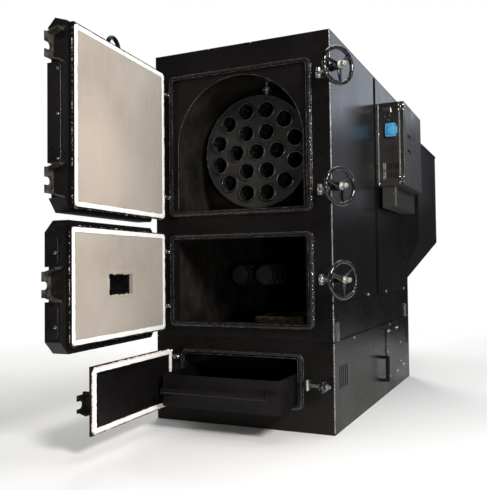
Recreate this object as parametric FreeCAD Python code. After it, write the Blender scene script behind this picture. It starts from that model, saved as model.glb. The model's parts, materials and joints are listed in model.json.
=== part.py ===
import FreeCAD, Part
import os
from math import cos, pi, radians, sin

# Three-pass hot-water boiler for biomass fuel: an ash base, a firebox and a horizontal
# tube drum inside a clad body, three swing doors at the front and a fuel hopper behind.
# Origin: centre of the body's footprint, at floor level. Front faces -Y, +Z is up, millimetres.
# Doors and bolts are built shut and then turned to their rest angle.

# ---- body ----
body_width = 1060.0
body_depth = 1980.0
base_height = 472.0
body_plate = 10.0            # front and back plates
base_sheet = 8.0             # base side plates and floor
base_flange = 40.0           # inward fold along the top of the base sides
seam = 2.0                   # open joint between base and front plate
cladding = 10.0              # folded side and top panels
skirt_recess = 8.0           # how far the band over the base stands back
skirt_height = 208.0
channel_width = 60.0         # recessed joint between the two side panels
channel_depth = 36.0
channel_sheet = 4.0
channel_lip = 26.0
channel_offset = -20.0       # y of the joint's middle
top_joint = 6.0
top_margin = 140.0           # front plate above the upper frame
roof_joint_left = 350.0      # joints of the roof panels, from each side
roof_joint_right = 450.0

# ---- door frames: flat bar welded on edge round each opening ----
side_margin = 105.0          # body side to frame, upper and middle
frame_bar = 12.0
frame_stand = 26.0
frame_corner = 30.0
middle_margin = 66.0         # base top to middle frame
middle_frame_height = 509.0
between_frames = 111.0
upper_frame_height = 802.0
ash_side_margin = 170.0
ash_frame_bottom = 120.0
ash_frame_height = 285.0

# ---- smoke box and drum ----
arch_land = 45.0             # frame edge to arch
arch_top_land = 32.0
arch_sill = 27.0
smoke_wall = 5.0
smoke_lip = 4.0              # smoke box wall stands back from the plate's cut edge
smoke_sill_drop = 15.0
smoke_depth = 420.0
drum_side_gap = 47.5
drum_floor_gap = 37.5
drum_drop = 8.0              # drum axis under the arch centre
drum_setback = 247.0         # body plate to tube sheet
drum_wall = 6.0
drum_rear_space = 366.0      # rear tube sheet to back plate
tube_sheet = 14.0
tube_rim_margin = 82.5
tube_ligament = 27.8
tube_wall = 4.0
tube_stand = 8.0
tube_fit = 0.25
sensor_radius = 7.0
sensor_bulb_radius = 10.0
sensor_bulb_length = 37.0
sensor_drop = 76.0           # arch top to the bulb's end
sensor_x = 95.0
sensor_setback = 190.0

# ---- furnace ----
furnace_land = 42.0          # frame edge to opening
furnace_sill = 27.0
furnace_wall = 6.0
furnace_side_room = 17.0     # cavity beyond the opening's edge
furnace_over = 70.0
furnace_depth = 1600.0
furnace_floor_rise = 18.0    # cavity floor over the base top
air_pipe_radius = 55.0
air_pipe_wall = 5.0
air_pipe_spacing = 166.0
air_pipe_offset = -144.0     # x of the middle of the pair
air_pipe_rise = 326.0        # axis over the furnace floor
air_pipe_setback = 480.0     # body plate to the pipes' front ends
air_collar = 8.0
air_collar_width = 22.0
air_collar_pitch = 95.0
air_collar_count = 8
air_collar_start = 30.0
burner_width = 320.0
burner_length = 420.0
burner_height = 64.0
burner_wall = 8.0
burner_setback = 560.0

# ---- ash chamber and drawer ----
chamber_room = 22.0          # chamber half width beyond the opening, less the bar
chamber_wall = 4.0
chamber_over = 7.0           # chamber top over the opening
chamber_depth = 1110.0
runner_height = 7.5
runner_width = 20.0
runner_inset = 28.0          # drawer side to the middle of a runner
runner_sink = 2.0            # runner top below the opening's edge
runner_gap = 0.5
drawer_side_gap = 20.0
drawer_height = 168.0
drawer_length = 850.0
drawer_sheet = 4.0
drawer_front_sheet = 6.0
drawer_inset = 245.0         # shut drawer's face behind the body front
drawer_travel = 515.0        # from shut to rest
drawer_bar_radius = 11.0
drawer_bar_stand = 62.0
drawer_bar_inset = 36.0
drawer_bar_rise = 92.0
drawer_post_inset = 38.0     # bar end to post
drawer_post_radius = 8.0
drawer_foot_radius = 24.0
drawer_foot_sheet = 5.0
drawer_end_radius = 17.0
drawer_end_cap = 6.0

# ---- hinges ----
hinge_offset = 30.0          # frame edge to pin
ash_hinge_offset = 45.0
hinge_stand = 55.0           # body front to pin
pin_radius = 8.0
pin_fit = 0.25
pin_head = 12.5
pin_head_height = 8.0
knuckle_radius = 13.5
knuckle_height = 40.0
knuckle_arm = 11.0           # arm to either side of the pin's line
ash_knuckle_arm = 1.0
ear_radius = 14.0
ear_thickness = 10.0
ear_gap = 1.0
upper_hinge_inset = 95.0     # frame top to hinge
lower_hinge_inset = 110.0    # frame bottom to hinge
middle_hinge_inset = 90.0
middle_hinge_foot = 109.0
ash_hinge_inset = 43.0

# ---- doors ----
gasket_gap = 1.0
gasket_width = 25.0
gasket_depth = 14.0
gasket_side = 5.0            # gasket beyond the frame, at the sides
gasket_over = 7.0
gasket_under = 15.0
board_fit = 1.0
board_recess = 2.0
casing_rim = 4.0
casing_over = 5.0
board_depth = 14.0          # slab behind the gasket
casing_recess = 3.0          # rim behind the gasket's face
cover_depth = 83.0
upper_cover_rise = 38.0      # cover beyond the casing, over and under it
upper_cover_drop = 20.0
middle_cover_rise = 26.0
middle_cover_drop = 32.0
cover_free_over = 40.0       # and at the edge with the hooks
cover_hinge_short = 55.0     # short of the casing at the hinges
cover_corner = 58.0          # width of the cut corners
upper_cover_corner_height = 72.0
upper_cover_fall = 32.0      # top of the upper cover, from its face to the casing
middle_cover_corner_height = 57.0
eye_bar = 9.0
eye_width = 120.0
eye_sink = 12.0              # middle of the bend, under the cover's front top edge
eye_shift = 9.0              # towards the hinges
peephole_width = 220.0
peephole_height = 106.0
peephole_wall = 12.0
peephole_recess = 22.0
peephole_shift = 27.0        # towards the bolts
peephole_drop = 6.0
peephole_stand = 12.0        # frame beyond the cover
ash_plate = 8.0
ash_plate_over = 15.0
ash_gasket_width = 22.0
ash_gasket_depth = 12.0
ash_baffle = 10.0
ash_baffle_inset = 30.0

# ---- swing bolts, hooks and wheels ----
bolt_offset = 56.0           # frame edge to bolt pivot
ash_bolt_offset = 36.0
top_bolt_inset = 98.0        # upper frame's top to bolt
centre_bolt_inset = 100.0
fire_bolt_rise = 4.0         # over the middle frame's centre
ash_bolt_drop = 7.0
bolt_stand = 40.0
bolt_radius = 9.0
bolt_eye_radius = 15.0
bolt_eye_height = 22.0
bolt_length = 178.0
bolt_ear_radius = 14.0
bolt_ear_thickness = 8.0
wheel_distance = 155.0
wheel_diameter = 200.0
wheel_rim_radius = 9.0
wheel_hub_radius = 22.0
wheel_hub_front = 15.0
wheel_seat_gap = 2.0         # hub to hook when shut
wheel_fit = 0.25
spoke_radius = 7.0
spoke_count = 3
spoke_start = 40.0           # angle of the first spoke
nut_radius = 16.0
nut_length = 18.0
hook_plate = 8.0
hook_beyond = 24.0           # hook past the bolt's axis
hook_behind = 34.0
hook_half_height = 58.0
hook_notch = 36.0
hook_notch_drop = 4.0        # below the bolt's axis
hook_notch_start = 4.0       # past the bolt's axis
hook_recess = 6.0            # behind the cover's face
hook_flange = 60.0
hook_flange_sheet = 6.0
hook_flare = 18.0            # spread of the hook's sides from web to door
pocket_room = 2.0            # pocket over and under the hook
ash_hook_half_height = 40.0
ash_hook_stand = 44.0
ash_post = 12.0              # bar that carries the ash door's hook
ash_bolt_length = 134.0
ash_washer_distance = 80.0
ash_washer_radius = 22.0
ash_washer = 4.0
knob_radius = 35.0
knob_lobe = 11.0
knob_lobes = 6
knob_lobe_step = 4.0
knob_gap = 1.0
knob_length = 26.0

# ---- control cabinet ----
cabinet_depth = 178.0
cabinet_length = 615.0
cabinet_height = 550.0
cabinet_start = 45.0
cabinet_sill = 913.0         # over the base
cabinet_corner = 6.0
inlet_width = 66.0
inlet_height = 88.0
inlet_depth = 26.0
inlet_drop = 141.0
inlet_corner = 10.0
inlet_offset = 92.5          # body side to the inlet's middle
duct_start = 60.0
duct_length = 640.0
duct_height = 140.0
duct_gap = 25.0              # side cladding to duct
duct_depth = 90.0

# ---- hopper ----
hopper_over = 95.0           # bin beyond the body side
hopper_length = 890.0
hopper_sill = 595.0          # over the base
hopper_height = 763.0
hopper_wall = 4.0
hopper_lid = 16.0
cone_height = 367.0
cone_side_slope = 0.5
trough_length = 180.0

# ---- fittings ----
flue_radius = 125.0
flue_wall = 4.0
flue_height = 85.0
flue_setback = 260.0
stub_radius = 44.5
stub_wall = 4.0
stub_height = 70.0
flange_radius = 100.0
flange_thickness = 18.0
flange_bolt_circle = 80.0
flange_bolt_radius = 9.0
flange_bolts = 8
flow_x = 260.0
flow_y = -150.0
return_y = 250.0
vent_slots = 5
vent_slot_width = 16.0
vent_slot_pitch = 34.0
vent_slot_height = 118.0
vent_inset = 89.0
vent_rise = 221.0
rear_vent_slots = 4
rear_vent_height = 90.0
rear_vent_rise = 270.0
hatch_inset = 170.0          # from the rear of the base
hatch_length = 630.0
hatch_height = 330.0
hatch_rise = 100.0
hatch_sheet = 4.0
handle_bar = 11.0
handle_stand = 46.0
handle_height = 171.0
handle_rise = 107.0
handle_gap = 145.0           # hatch edge to handle
lug_width = 36.0
lug_height = 98.0
lug_thickness = 8.0
lug_hole = 9.0
lug_hole_rise = 68.0
lug_inset = 85.0

# ---- rest angles, from shut ----
upper_door_angle = 85.7
middle_door_angle = 86.7
ash_door_angle = 87.8
top_bolt_angle = 57.0
centre_bolt_angle = 57.0
fire_bolt_angle = 61.0
ash_bolt_angle = 77.0

# ---- worked out ----
V = FreeCAD.Vector
half_width = body_width / 2
front = -body_depth / 2
rear = body_depth / 2
inner_front = front + body_plate
inner_rear = rear - body_plate
plate_bottom = base_height + seam
skirt_top = base_height + skirt_height
frame_half = half_width - side_margin
middle_bottom = base_height + middle_margin
middle_top = middle_bottom + middle_frame_height
upper_bottom = middle_top + between_frames
upper_top = upper_bottom + upper_frame_height
body_height = upper_top + top_margin
roof_bottom = body_height - cladding
ash_half = half_width - ash_side_margin
ash_bottom = ash_frame_bottom
ash_top = ash_frame_bottom + ash_frame_height
frame_face = front - frame_stand
hinge_y = front - hinge_stand
bolt_y = front - bolt_stand
gasket_face = frame_face - gasket_gap
casing_face = gasket_face - casing_recess
casing_back = gasket_face - gasket_depth - board_depth - casing_rim
cover_face = casing_back - cover_depth
hook_face = cover_face + hook_recess
arch_radius = frame_half - arch_land
arch_z = upper_top - arch_top_land - arch_radius
arch_bottom = upper_bottom + arch_sill
smoke_floor = arch_bottom - smoke_sill_drop
drum_z = arch_z - drum_drop
drum_radius = min(arch_radius - drum_side_gap, drum_z - smoke_floor - drum_floor_gap)
sheet_y = front + body_plate + drum_setback
rear_sheet_y = inner_rear - drum_rear_space
outer_ring = drum_radius - tube_rim_margin
tube_pitch = 2 * outer_ring * sin(radians(15))
tube_radius = (tube_pitch - tube_ligament) / 2
furnace_half = frame_half - furnace_land + furnace_side_room
furnace_floor = base_height + furnace_floor_rise
furnace_top = middle_top - furnace_sill + furnace_over
opening_half = frame_half - furnace_land
drawer_floor = ash_bottom + frame_bar + runner_height - runner_sink + runner_gap
chamber_floor = drawer_floor - runner_gap - runner_height
drawer_half = ash_half - frame_bar - drawer_side_gap
drawer_face = front + drawer_inset - drawer_travel


def box(x0, x1, y0, y1, z0, z1):
    """Box between two corners."""
    return Part.makeBox(x1 - x0, y1 - y0, z1 - z0, V(x0, y0, z0))


def rod(start, direction, radius, length):
    """Cylinder from a start point along a direction."""
    return Part.makeCylinder(radius, length, start, direction)


def join(shapes):
    """One solid from shapes that meet."""
    return shapes[0].fuse(shapes[1:]).removeSplitter() if len(shapes) > 1 else shapes[0]


def prism_xz(points, y0, y1):
    """Straight-sided outline in XZ, carried from y0 to y1."""
    wire = Part.makePolygon([V(x, y0, z) for x, z in points] + [V(points[0][0], y0, points[0][1])])
    return Part.Face(wire).extrude(V(0, y1 - y0, 0))


def prism_yz(points, x0, x1):
    """Straight-sided outline in YZ, carried from x0 to x1."""
    wire = Part.makePolygon([V(x0, y, z) for y, z in points] + [V(x0, *points[0])])
    return Part.Face(wire).extrude(V(x1 - x0, 0, 0))


def round_plate(x0, x1, z0, z1, radius, y0, y1):
    """Plate in XZ with four round corners."""
    edges = []
    centres = ((x1 - radius, z1 - radius, 0), (x0 + radius, z1 - radius, 90),
               (x0 + radius, z0 + radius, 180), (x1 - radius, z0 + radius, 270))
    points = []
    for cx, cz, start in centres:
        arc = [V(cx + radius * cos(radians(start + a)), y0, cz + radius * sin(radians(start + a)))
               for a in (0, 45, 90)]
        points.append(arc)
    for i, arc in enumerate(points):
        edges.append(Part.Arc(*arc).toShape())
        edges.append(Part.LineSegment(arc[2], points[(i + 1) % 4][0]).toShape())
    return Part.Face(Part.Wire(edges)).extrude(V(0, y1 - y0, 0))


def cut_corner_plate(x0, x1, z0, z1, c, h, y0, y1):
    """Eight-sided plate in XZ, its corners cut c wide and h high."""
    return prism_xz([(x0 + c, z0), (x1 - c, z0), (x1, z0 + h), (x1, z1 - h),
                     (x1 - c, z1), (x0 + c, z1), (x0, z1 - h), (x0, z0 + h)], y0, y1)


def arch_prism(radius, floor, y0, y1):
    """Half-round arch over straight sides, carried from y0 to y1."""
    left, right = V(-radius, y0, arch_z), V(radius, y0, arch_z)
    edges = [Part.Arc(left, V(0, y0, arch_z + radius), right).toShape(),
             Part.LineSegment(right, V(radius, y0, floor)).toShape(),
             Part.LineSegment(V(radius, y0, floor), V(-radius, y0, floor)).toShape(),
             Part.LineSegment(V(-radius, y0, floor), left).toShape()]
    return Part.Face(Part.Wire(edges)).extrude(V(0, y1 - y0, 0))


def mirrored(shape):
    """The same piece on the other side of the body."""
    return shape.mirror(V(0, 0, 0), V(1, 0, 0))


def swung(shape, pin_x, pin_y, angle):
    """Piece turned about an upright pin; a positive angle opens towards the front."""
    turned = shape.copy()
    turned.rotate(V(pin_x, pin_y, 0), V(0, 0, 1), angle)
    return turned


def base_parts():
    """Plinth with the ash chamber's front, vents and hatch."""
    front_sheet = box(-half_width, half_width, front, inner_front, 0, base_height)
    hole = round_plate(-ash_half + frame_bar, ash_half - frame_bar, ash_bottom + frame_bar,
                       ash_top - frame_bar, frame_corner - frame_bar, front - 1, inner_front + 1)
    side = join([box(half_width - base_sheet, half_width, inner_front, inner_rear, 0, base_height),
                 box(half_width - base_flange, half_width, inner_front, inner_rear,
                     base_height - base_sheet, base_height)])
    slots = []
    for i in range(vent_slots):
        y = front + vent_inset + i * vent_slot_pitch
        slots.append(box(0, half_width + 1, y, y + vent_slot_width, vent_rise, vent_rise + vent_slot_height))
    for i in range(rear_vent_slots):
        y = rear - vent_inset / 2 - i * vent_slot_pitch
        slots.append(box(0, half_width + 1, y - vent_slot_width, y,
                         rear_vent_rise, rear_vent_rise + rear_vent_height))
    side = side.cut(slots)
    floor = box(-half_width + base_sheet, half_width - base_sheet, inner_front, inner_rear, 0, base_sheet)
    hatch_y = rear - hatch_inset - hatch_length
    hatch = round_plate(hatch_y, hatch_y + hatch_length, hatch_rise, hatch_rise + hatch_height,
                        8.0, 0, -hatch_sheet)
    hatch.rotate(V(0, 0, 0), V(0, 0, 1), 90)
    hatch.translate(V(half_width, 0, 0))
    handle_y = hatch_y - handle_gap
    ends = (handle_rise + handle_bar, handle_rise + handle_height - handle_bar)
    grip_x = half_width + handle_stand
    parts = [rod(V(half_width, handle_y, z), V(1, 0, 0), handle_bar, handle_stand) for z in ends]
    parts += [Part.makeSphere(handle_bar, V(grip_x, handle_y, z)) for z in ends]
    parts.append(rod(V(grip_x, handle_y, ends[0]), V(0, 0, 1), handle_bar, ends[1] - ends[0]))
    return {"base_front_plate": front_sheet.cut(hole), "base_side_right": side,
            "base_side_left": mirrored(side), "base_floor": floor, "base_hatch": hatch,
            "hatch_handle": join(parts)}


def ash_chamber():
    """Sheet box that the ash drawer runs in, with its two runners."""
    inner = ash_half - frame_bar + chamber_room - frame_bar
    top = ash_top - frame_bar + chamber_over
    back = inner_front + chamber_depth
    outer = box(-inner - chamber_wall, inner + chamber_wall, inner_front, back,
                chamber_floor - chamber_wall, top + chamber_wall)
    shell = outer.cut(box(-inner, inner, inner_front - 1, back - chamber_wall, chamber_floor, top))
    rails = []
    for s in (-1, 1):
        x = s * (drawer_half - runner_inset)
        rails.append(box(x - runner_width / 2, x + runner_width / 2, inner_front, back - chamber_wall,
                         chamber_floor, chamber_floor + runner_height))
    return join([shell] + rails)


def front_plate():
    """Body front with the arched smoke opening, the fire opening and two nicks at the top edge."""
    plate = box(-half_width, half_width, front, inner_front, plate_bottom, body_height)
    arch = arch_prism(arch_radius, arch_bottom, front - 1, inner_front + 1)
    fire = round_plate(-opening_half, opening_half, middle_bottom + furnace_sill,
                       middle_top - furnace_sill, 14.0, front - 1, inner_front + 1)
    nicks = [box(x - top_joint / 2, x + top_joint / 2, front - 1, inner_front + 1,
                 body_height - cladding, body_height + 1) for x in roof_joints()]
    return plate.cut([arch, fire] + nicks)


def door_frame(half, bottom, top):
    """Flat bar ring round one opening."""
    outer = round_plate(-half, half, bottom, top, frame_corner, frame_face, front)
    return outer.cut(round_plate(-half + frame_bar, half - frame_bar, bottom + frame_bar,
                                 top - frame_bar, frame_corner - frame_bar, frame_face - 1, front + 1))


def roof_joints():
    """x of the two joints between the roof panels."""
    return (-half_width + roof_joint_left, half_width - roof_joint_right)


def cladding_parts():
    """Skirt, side panels with their recessed joint, roof and back."""
    x0, x1 = half_width - cladding, half_width
    joint = (channel_offset - channel_width / 2, channel_offset + channel_width / 2)
    right = [box(x0, x1, inner_front, joint[0], skirt_top, roof_bottom),
             box(x0, x1, joint[1], inner_rear, skirt_top, roof_bottom)]
    deep, sheet = x0 - channel_depth, channel_sheet
    walls = ((deep, deep + sheet, joint[0] - sheet, joint[1] + sheet),
             (deep, x0, joint[0] - sheet, joint[0]),
             (deep, x0, joint[1], joint[1] + sheet),
             (x0 - sheet, x0, joint[0] - channel_lip, joint[0]),
             (x0 - sheet, x0, joint[1], joint[1] + channel_lip))
    channel = join([box(*wall, skirt_top, roof_bottom) for wall in walls])
    skirt = box(half_width - skirt_recess - cladding, half_width - skirt_recess,
                inner_front, inner_rear, base_height, skirt_top)
    left_joint, right_joint = roof_joints()
    spans = ((-half_width, left_joint - top_joint / 2),
             (left_joint + top_joint / 2, right_joint - top_joint / 2),
             (right_joint + top_joint / 2, half_width))
    roof = [box(a, b, inner_front, inner_rear, roof_bottom, body_height) for a, b in spans]
    bores = ((0, rear - flue_setback, flue_radius - flue_wall), (flow_x, flow_y, stub_radius - stub_wall),
             (flow_x, return_y, stub_radius - stub_wall))
    holes = [rod(V(x, y, roof_bottom - 1), V(0, 0, 1), r, cladding + 2) for x, y, r in bores]
    roof = [panel.cut(holes) for panel in roof]
    back = box(-half_width, half_width, inner_rear, rear, plate_bottom, body_height)
    base_back = box(-half_width, half_width, inner_rear, rear, 0, base_height)
    return {"side_panels_right": Part.makeCompound(right),
            "side_panels_left": Part.makeCompound([mirrored(s) for s in right]),
            "seam_channels": Part.makeCompound([channel, mirrored(channel)]),
            "skirt_panels": Part.makeCompound([skirt, mirrored(skirt)]),
            "roof_panels": Part.makeCompound(roof),
            "back_panels": Part.makeCompound([back, base_back])}


def tube_centres():
    """One tube on the axis, six round it and twelve round those."""
    centres = [(0.0, drum_z)]
    for count, radius, start in ((6, tube_pitch, 0), (12, outer_ring, 15)):
        for i in range(count):
            a = radians(start + i * 360 / count)
            centres.append((radius * cos(a), drum_z + radius * sin(a)))
    return centres


def smoke_parts():
    """Smoke box, drum, tube sheets, tubes and the sensor that hangs in the smoke box."""
    inside = arch_radius + smoke_lip
    back = inner_front + smoke_depth
    cavity = arch_prism(inside, smoke_floor, inner_front, back)
    shell = arch_prism(inside + smoke_wall, smoke_floor - smoke_wall, inner_front, back + smoke_wall)
    mouth = rod(V(0, back - 1, drum_z), V(0, 1, 0), drum_radius + tube_fit, smoke_wall + 2)
    shell = shell.cut([cavity, mouth])
    between = rear_sheet_y - sheet_y
    drum = rod(V(0, sheet_y + tube_sheet, drum_z), V(0, 1, 0), drum_radius, between - tube_sheet)
    drum = drum.cut(rod(V(0, sheet_y, drum_z), V(0, 1, 0), drum_radius - drum_wall, between))
    start, length = sheet_y - tube_stand, rear_sheet_y - sheet_y + tube_sheet + 2 * tube_stand
    holes = [rod(V(x, start, z), V(0, 1, 0), tube_radius + tube_fit, length) for x, z in tube_centres()]
    sheets = [rod(V(0, y, drum_z), V(0, 1, 0), drum_radius, tube_sheet).cut(holes)
              for y in (sheet_y, rear_sheet_y)]
    tubes = []
    for x, z in tube_centres():
        tube = rod(V(x, start, z), V(0, 1, 0), tube_radius, length)
        tubes.append(tube.cut(rod(V(x, start - 1, z), V(0, 1, 0), tube_radius - tube_wall, length + 2)))
    sensor_y, top = front + sensor_setback, arch_z + arch_radius
    reach = arch_prism(inside - tube_fit, smoke_floor, inner_front, back)
    low = V(sensor_x, sensor_y, top - sensor_drop)
    bulb = rod(low, V(0, 0, 1), sensor_bulb_radius, sensor_bulb_length)
    sensor = join([rod(low, V(0, 0, 1), sensor_radius, 2 * sensor_drop), bulb])
    return {"smoke_box": shell, "tube_drum": drum, "tube_sheets": Part.makeCompound(sheets),
            "fire_tubes": Part.makeCompound(tubes), "sensor_nipple": sensor.common(reach)}


def furnace_parts():
    """Firebox shell, the two air pipes from its rear wall and the burner trough on its floor."""
    y0, y1 = inner_front, inner_front + furnace_depth
    h, w = furnace_half, furnace_wall
    shell = box(-h - w, h + w, y0, y1 + w, furnace_floor - w, furnace_top + w)
    shell = shell.cut(box(-h, h, y0 - 1, y1, furnace_floor, furnace_top))
    pipes = []
    start = inner_front + air_pipe_setback
    for s in (-1, 1):
        x, z = air_pipe_offset + s * air_pipe_spacing / 2, furnace_floor + air_pipe_rise
        tube = rod(V(x, start, z), V(0, 1, 0), air_pipe_radius, y1 - start)
        core = rod(V(x, start + air_pipe_wall, z), V(0, 1, 0), air_pipe_radius - air_pipe_wall, y1 - start)
        collars = [rod(V(x, start + air_collar_start + i * air_collar_pitch, z), V(0, 1, 0),
                       air_pipe_radius + air_collar, air_collar_width) for i in range(air_collar_count)]
        pipes.append(join([tube] + collars).cut(core))
    by = inner_front + burner_setback
    pan = box(-burner_width / 2, burner_width / 2, by, by + burner_length,
              furnace_floor, furnace_floor + burner_height)
    b = burner_wall
    pan = pan.cut(box(-burner_width / 2 + b, burner_width / 2 - b, by + b, by + burner_length - b,
                      furnace_floor + b, furnace_floor + burner_height + 1))
    return {"furnace_shell": shell, "air_pipes": Part.makeCompound(pipes), "burner_trough": pan}


def cabinet_parts():
    """Control cabinet, its mains inlet and the cable duct that hangs under it."""
    z0 = base_height + cabinet_sill
    z1 = z0 + cabinet_height
    x1 = half_width + cabinet_depth
    y0, y1 = cabinet_start, cabinet_start + cabinet_length
    cabinet = box(half_width, x1, y0, y1, z0, z1)
    outer = [e for e in cabinet.Edges if abs(e.CenterOfMass.x - x1) < 0.01]
    cabinet = cabinet.makeFillet(cabinet_corner, outer)
    middle = half_width + inlet_offset
    inlet = round_plate(middle - inlet_width / 2, middle + inlet_width / 2, z1 - inlet_drop - inlet_height,
                        z1 - inlet_drop, inlet_corner, y0 - inlet_depth, y0)
    duct_x = half_width + duct_gap
    duct = box(duct_x, duct_x + duct_depth, duct_start, duct_start + duct_length, z0 - duct_height, z0)
    return {"control_cabinet": cabinet, "mains_inlet": inlet, "cabinet_duct": duct}


def hopper_ring(z, half, y1, inset):
    """Rectangle for the hopper's walls at one height, set in by a wall."""
    y0 = rear + inset
    h, y1 = half - inset, y1 - inset
    return Part.makePolygon([V(-h, y0, z), V(h, y0, z), V(h, y1, z), V(-h, y1, z), V(-h, y0, z)])


def hopper_parts():
    """Fuel bin with its lid, the cone under it and the screw trough."""
    z0 = base_height + hopper_sill
    z1 = z0 + hopper_height
    half, end = half_width + hopper_over, rear + hopper_length
    w = hopper_wall
    bin_shell = box(-half, half, rear, end, z0, z1)
    bin_shell = bin_shell.cut(box(-half + w, half - w, rear + w, end - w, z0 - 1, z1 + 1))
    lid = box(-half - w, half + w, rear, end + w, z1, z1 + hopper_lid)
    low = z0 - cone_height
    low_half = half - cone_side_slope * cone_height
    low_end = rear + trough_length
    cone = Part.makeLoft([hopper_ring(low, low_half, low_end, 0), hopper_ring(z0, half, end, 0)], True, True)
    core = Part.makeLoft([hopper_ring(low, low_half, low_end, w), hopper_ring(z0, half, end, w)], True, True)
    r = trough_length / 2
    trough = box(-low_half, low_half, rear, low_end, low - r, low)
    trough = join([trough, rod(V(-low_half, rear + r, low - r), V(1, 0, 0), r, 2 * low_half)])
    return {"hopper_bin": bin_shell, "hopper_lid": lid, "hopper_cone": cone.cut(core), "feed_trough": trough}


def pipe_stub(base):
    """Short upright pipe with a bolted flange at its end."""
    up = V(0, 0, 1)
    end = base + up * (stub_height - flange_thickness)
    flange = rod(end, up, flange_radius, flange_thickness)
    holes = []
    for i in range(flange_bolts):
        a = 2 * pi * (i + 0.5) / flange_bolts
        centre = end + V(flange_bolt_circle * cos(a), flange_bolt_circle * sin(a), -1)
        holes.append(rod(centre, up, flange_bolt_radius, flange_thickness + 2))
    stub = join([rod(base, up, stub_radius, stub_height), flange])
    return stub.cut(holes + [rod(base - up, up, stub_radius - stub_wall, stub_height + 2)])


def fitting_parts():
    """Flue collar, water connections and the tie lugs on the base."""
    at = V(0, rear - flue_setback, body_height)
    collar = rod(at, V(0, 0, 1), flue_radius, flue_height)
    collar = collar.cut(rod(at - V(0, 0, 1), V(0, 0, 1), flue_radius - flue_wall, flue_height + 2))
    stubs = [pipe_stub(V(flow_x, y, body_height)) for y in (flow_y, return_y)]
    lugs = []
    hole_z = base_height + lug_hole_rise
    for y in (front + lug_inset, rear - lug_inset):
        lug = box(half_width - lug_thickness, half_width, y - lug_width / 2, y + lug_width / 2,
                  base_height, base_height + lug_height)
        lug = lug.cut(rod(V(half_width - lug_thickness - 1, y, hole_z),
                          V(1, 0, 0), lug_hole, lug_thickness + 2))
        lugs += [lug, mirrored(lug)]
    return {"flue_collar": collar, "water_stubs": Part.makeCompound(stubs),
            "tie_lugs": Part.makeCompound(lugs)}


def ear(x, y, z, radius, thickness):
    """One hinge ear: a tongue from the body front to a round end about a pin."""
    return join([box(x - radius, x + radius, y, front, z, z + thickness),
                 rod(V(x, y, z), V(0, 0, 1), radius, thickness)])


def lug_pair(x, y, z, half_gap, radius, thickness, hole):
    """Two ears over and under a middle height, with a hole for their pin."""
    ears = [ear(x, y, low, radius, thickness) for low in (z + half_gap, z - half_gap - thickness)]
    bore = rod(V(x, y, z - 100), V(0, 0, 1), hole, 200)
    return [e.cut(bore) for e in ears]


def headed_pin(x, y, z, half_length):
    """Upright pin with a head over it and a nut under it."""
    return join([rod(V(x, y, z - half_length), V(0, 0, 1), pin_radius, 2 * half_length),
                 rod(V(x, y, z + half_length), V(0, 0, 1), pin_head, pin_head_height),
                 rod(V(x, y, z - half_length - pin_head_height), V(0, 0, 1), pin_head, pin_head_height)])


def hinge_places():
    """x, and the two heights, of each door's pins."""
    x = -frame_half - hinge_offset
    return {"upper": (x, (upper_top - upper_hinge_inset, upper_bottom + lower_hinge_inset)),
            "middle": (x, (middle_top - middle_hinge_inset, middle_bottom + middle_hinge_foot)),
            "ash": (-ash_half - ash_hinge_offset,
                    (ash_top - ash_hinge_inset, ash_bottom + ash_hinge_inset))}


def bolt_places():
    """x and height of each swing bolt's pivot."""
    x = frame_half + bolt_offset
    return {"top": (x, upper_top - top_bolt_inset), "centre": (x, upper_bottom + centre_bolt_inset),
            "fire": (x, (middle_top + middle_bottom) / 2 + fire_bolt_rise),
            "ash": (ash_half + ash_bolt_offset, (ash_top + ash_bottom) / 2 - ash_bolt_drop)}


def lug_parts():
    """Hinge ears and pins, and the forks of the swing bolts."""
    half_gap = knuckle_height / 2 + ear_gap
    ears, pins = [], []
    for x, heights in hinge_places().values():
        for z in heights:
            ears += lug_pair(x, hinge_y, z, half_gap, ear_radius, ear_thickness, pin_radius + pin_fit)
            pins.append(headed_pin(x, hinge_y, z, half_gap + ear_thickness))
    forks = []
    for x, z in bolt_places().values():
        gap = bolt_eye_height / 2 + ear_gap
        pair = lug_pair(x, bolt_y, z, gap, bolt_ear_radius, bolt_ear_thickness, pin_radius - 1)
        forks.append(join(pair + [headed_pin(x, bolt_y, z, gap + bolt_ear_thickness)]))
    return {"hinge_ears": Part.makeCompound(ears), "hinge_pins": Part.makeCompound(pins),
            "bolt_forks": Part.makeCompound(forks)}


def knuckle(x, z, side_x, y0, y1):
    """Door knuckle round a hinge pin, with the arm that joins it to the door's side."""
    low = z - knuckle_height / 2
    solid = join([rod(V(x, hinge_y, low), V(0, 0, 1), knuckle_radius, knuckle_height),
                  box(x, side_x, y0, y1, low, low + knuckle_height)])
    return solid.cut(rod(V(x, hinge_y, low - 1), V(0, 0, 1), pin_radius + pin_fit, knuckle_height + 2))


def latch_hook(bolt_x, z, face_y, half_height, behind, depth):
    """Pressed hook: a web notched for a swing bolt, and two sides that flare back to the door."""
    x0, x1 = bolt_x - behind, bolt_x + hook_beyond
    back = face_y + hook_plate
    web = box(x0, x1, face_y, back, z - half_height, z + half_height)
    r, low = hook_notch / 2, z - hook_notch_drop
    notch = join([box(bolt_x + hook_notch_start, x1 + 1, face_y - 1, back + 1, low - r, low + r),
                  rod(V(bolt_x + hook_notch_start, face_y - 1, low), V(0, 1, 0), r, hook_plate + 2)])
    sides = []
    flare = hook_flare * depth / hook_flange
    for s in (-1, 1):
        edge, inner = z + s * half_height, z + s * (half_height - hook_flange_sheet)
        sides.append(prism_yz([(back, inner), (back, edge), (back + depth, edge + s * flare),
                               (back + depth, inner + s * flare)], x0, x1 - hook_plate))
    return join([web.cut(notch)] + sides)


def hook_pocket(bolt_x, z):
    """Room cut in a cover's free edge for a hook and its bolt."""
    half = hook_half_height + hook_flare + pocket_room
    return box(bolt_x - hook_behind, bolt_x + hook_flange, cover_face - 1, casing_back + 1,
               z - half, z + half)


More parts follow.
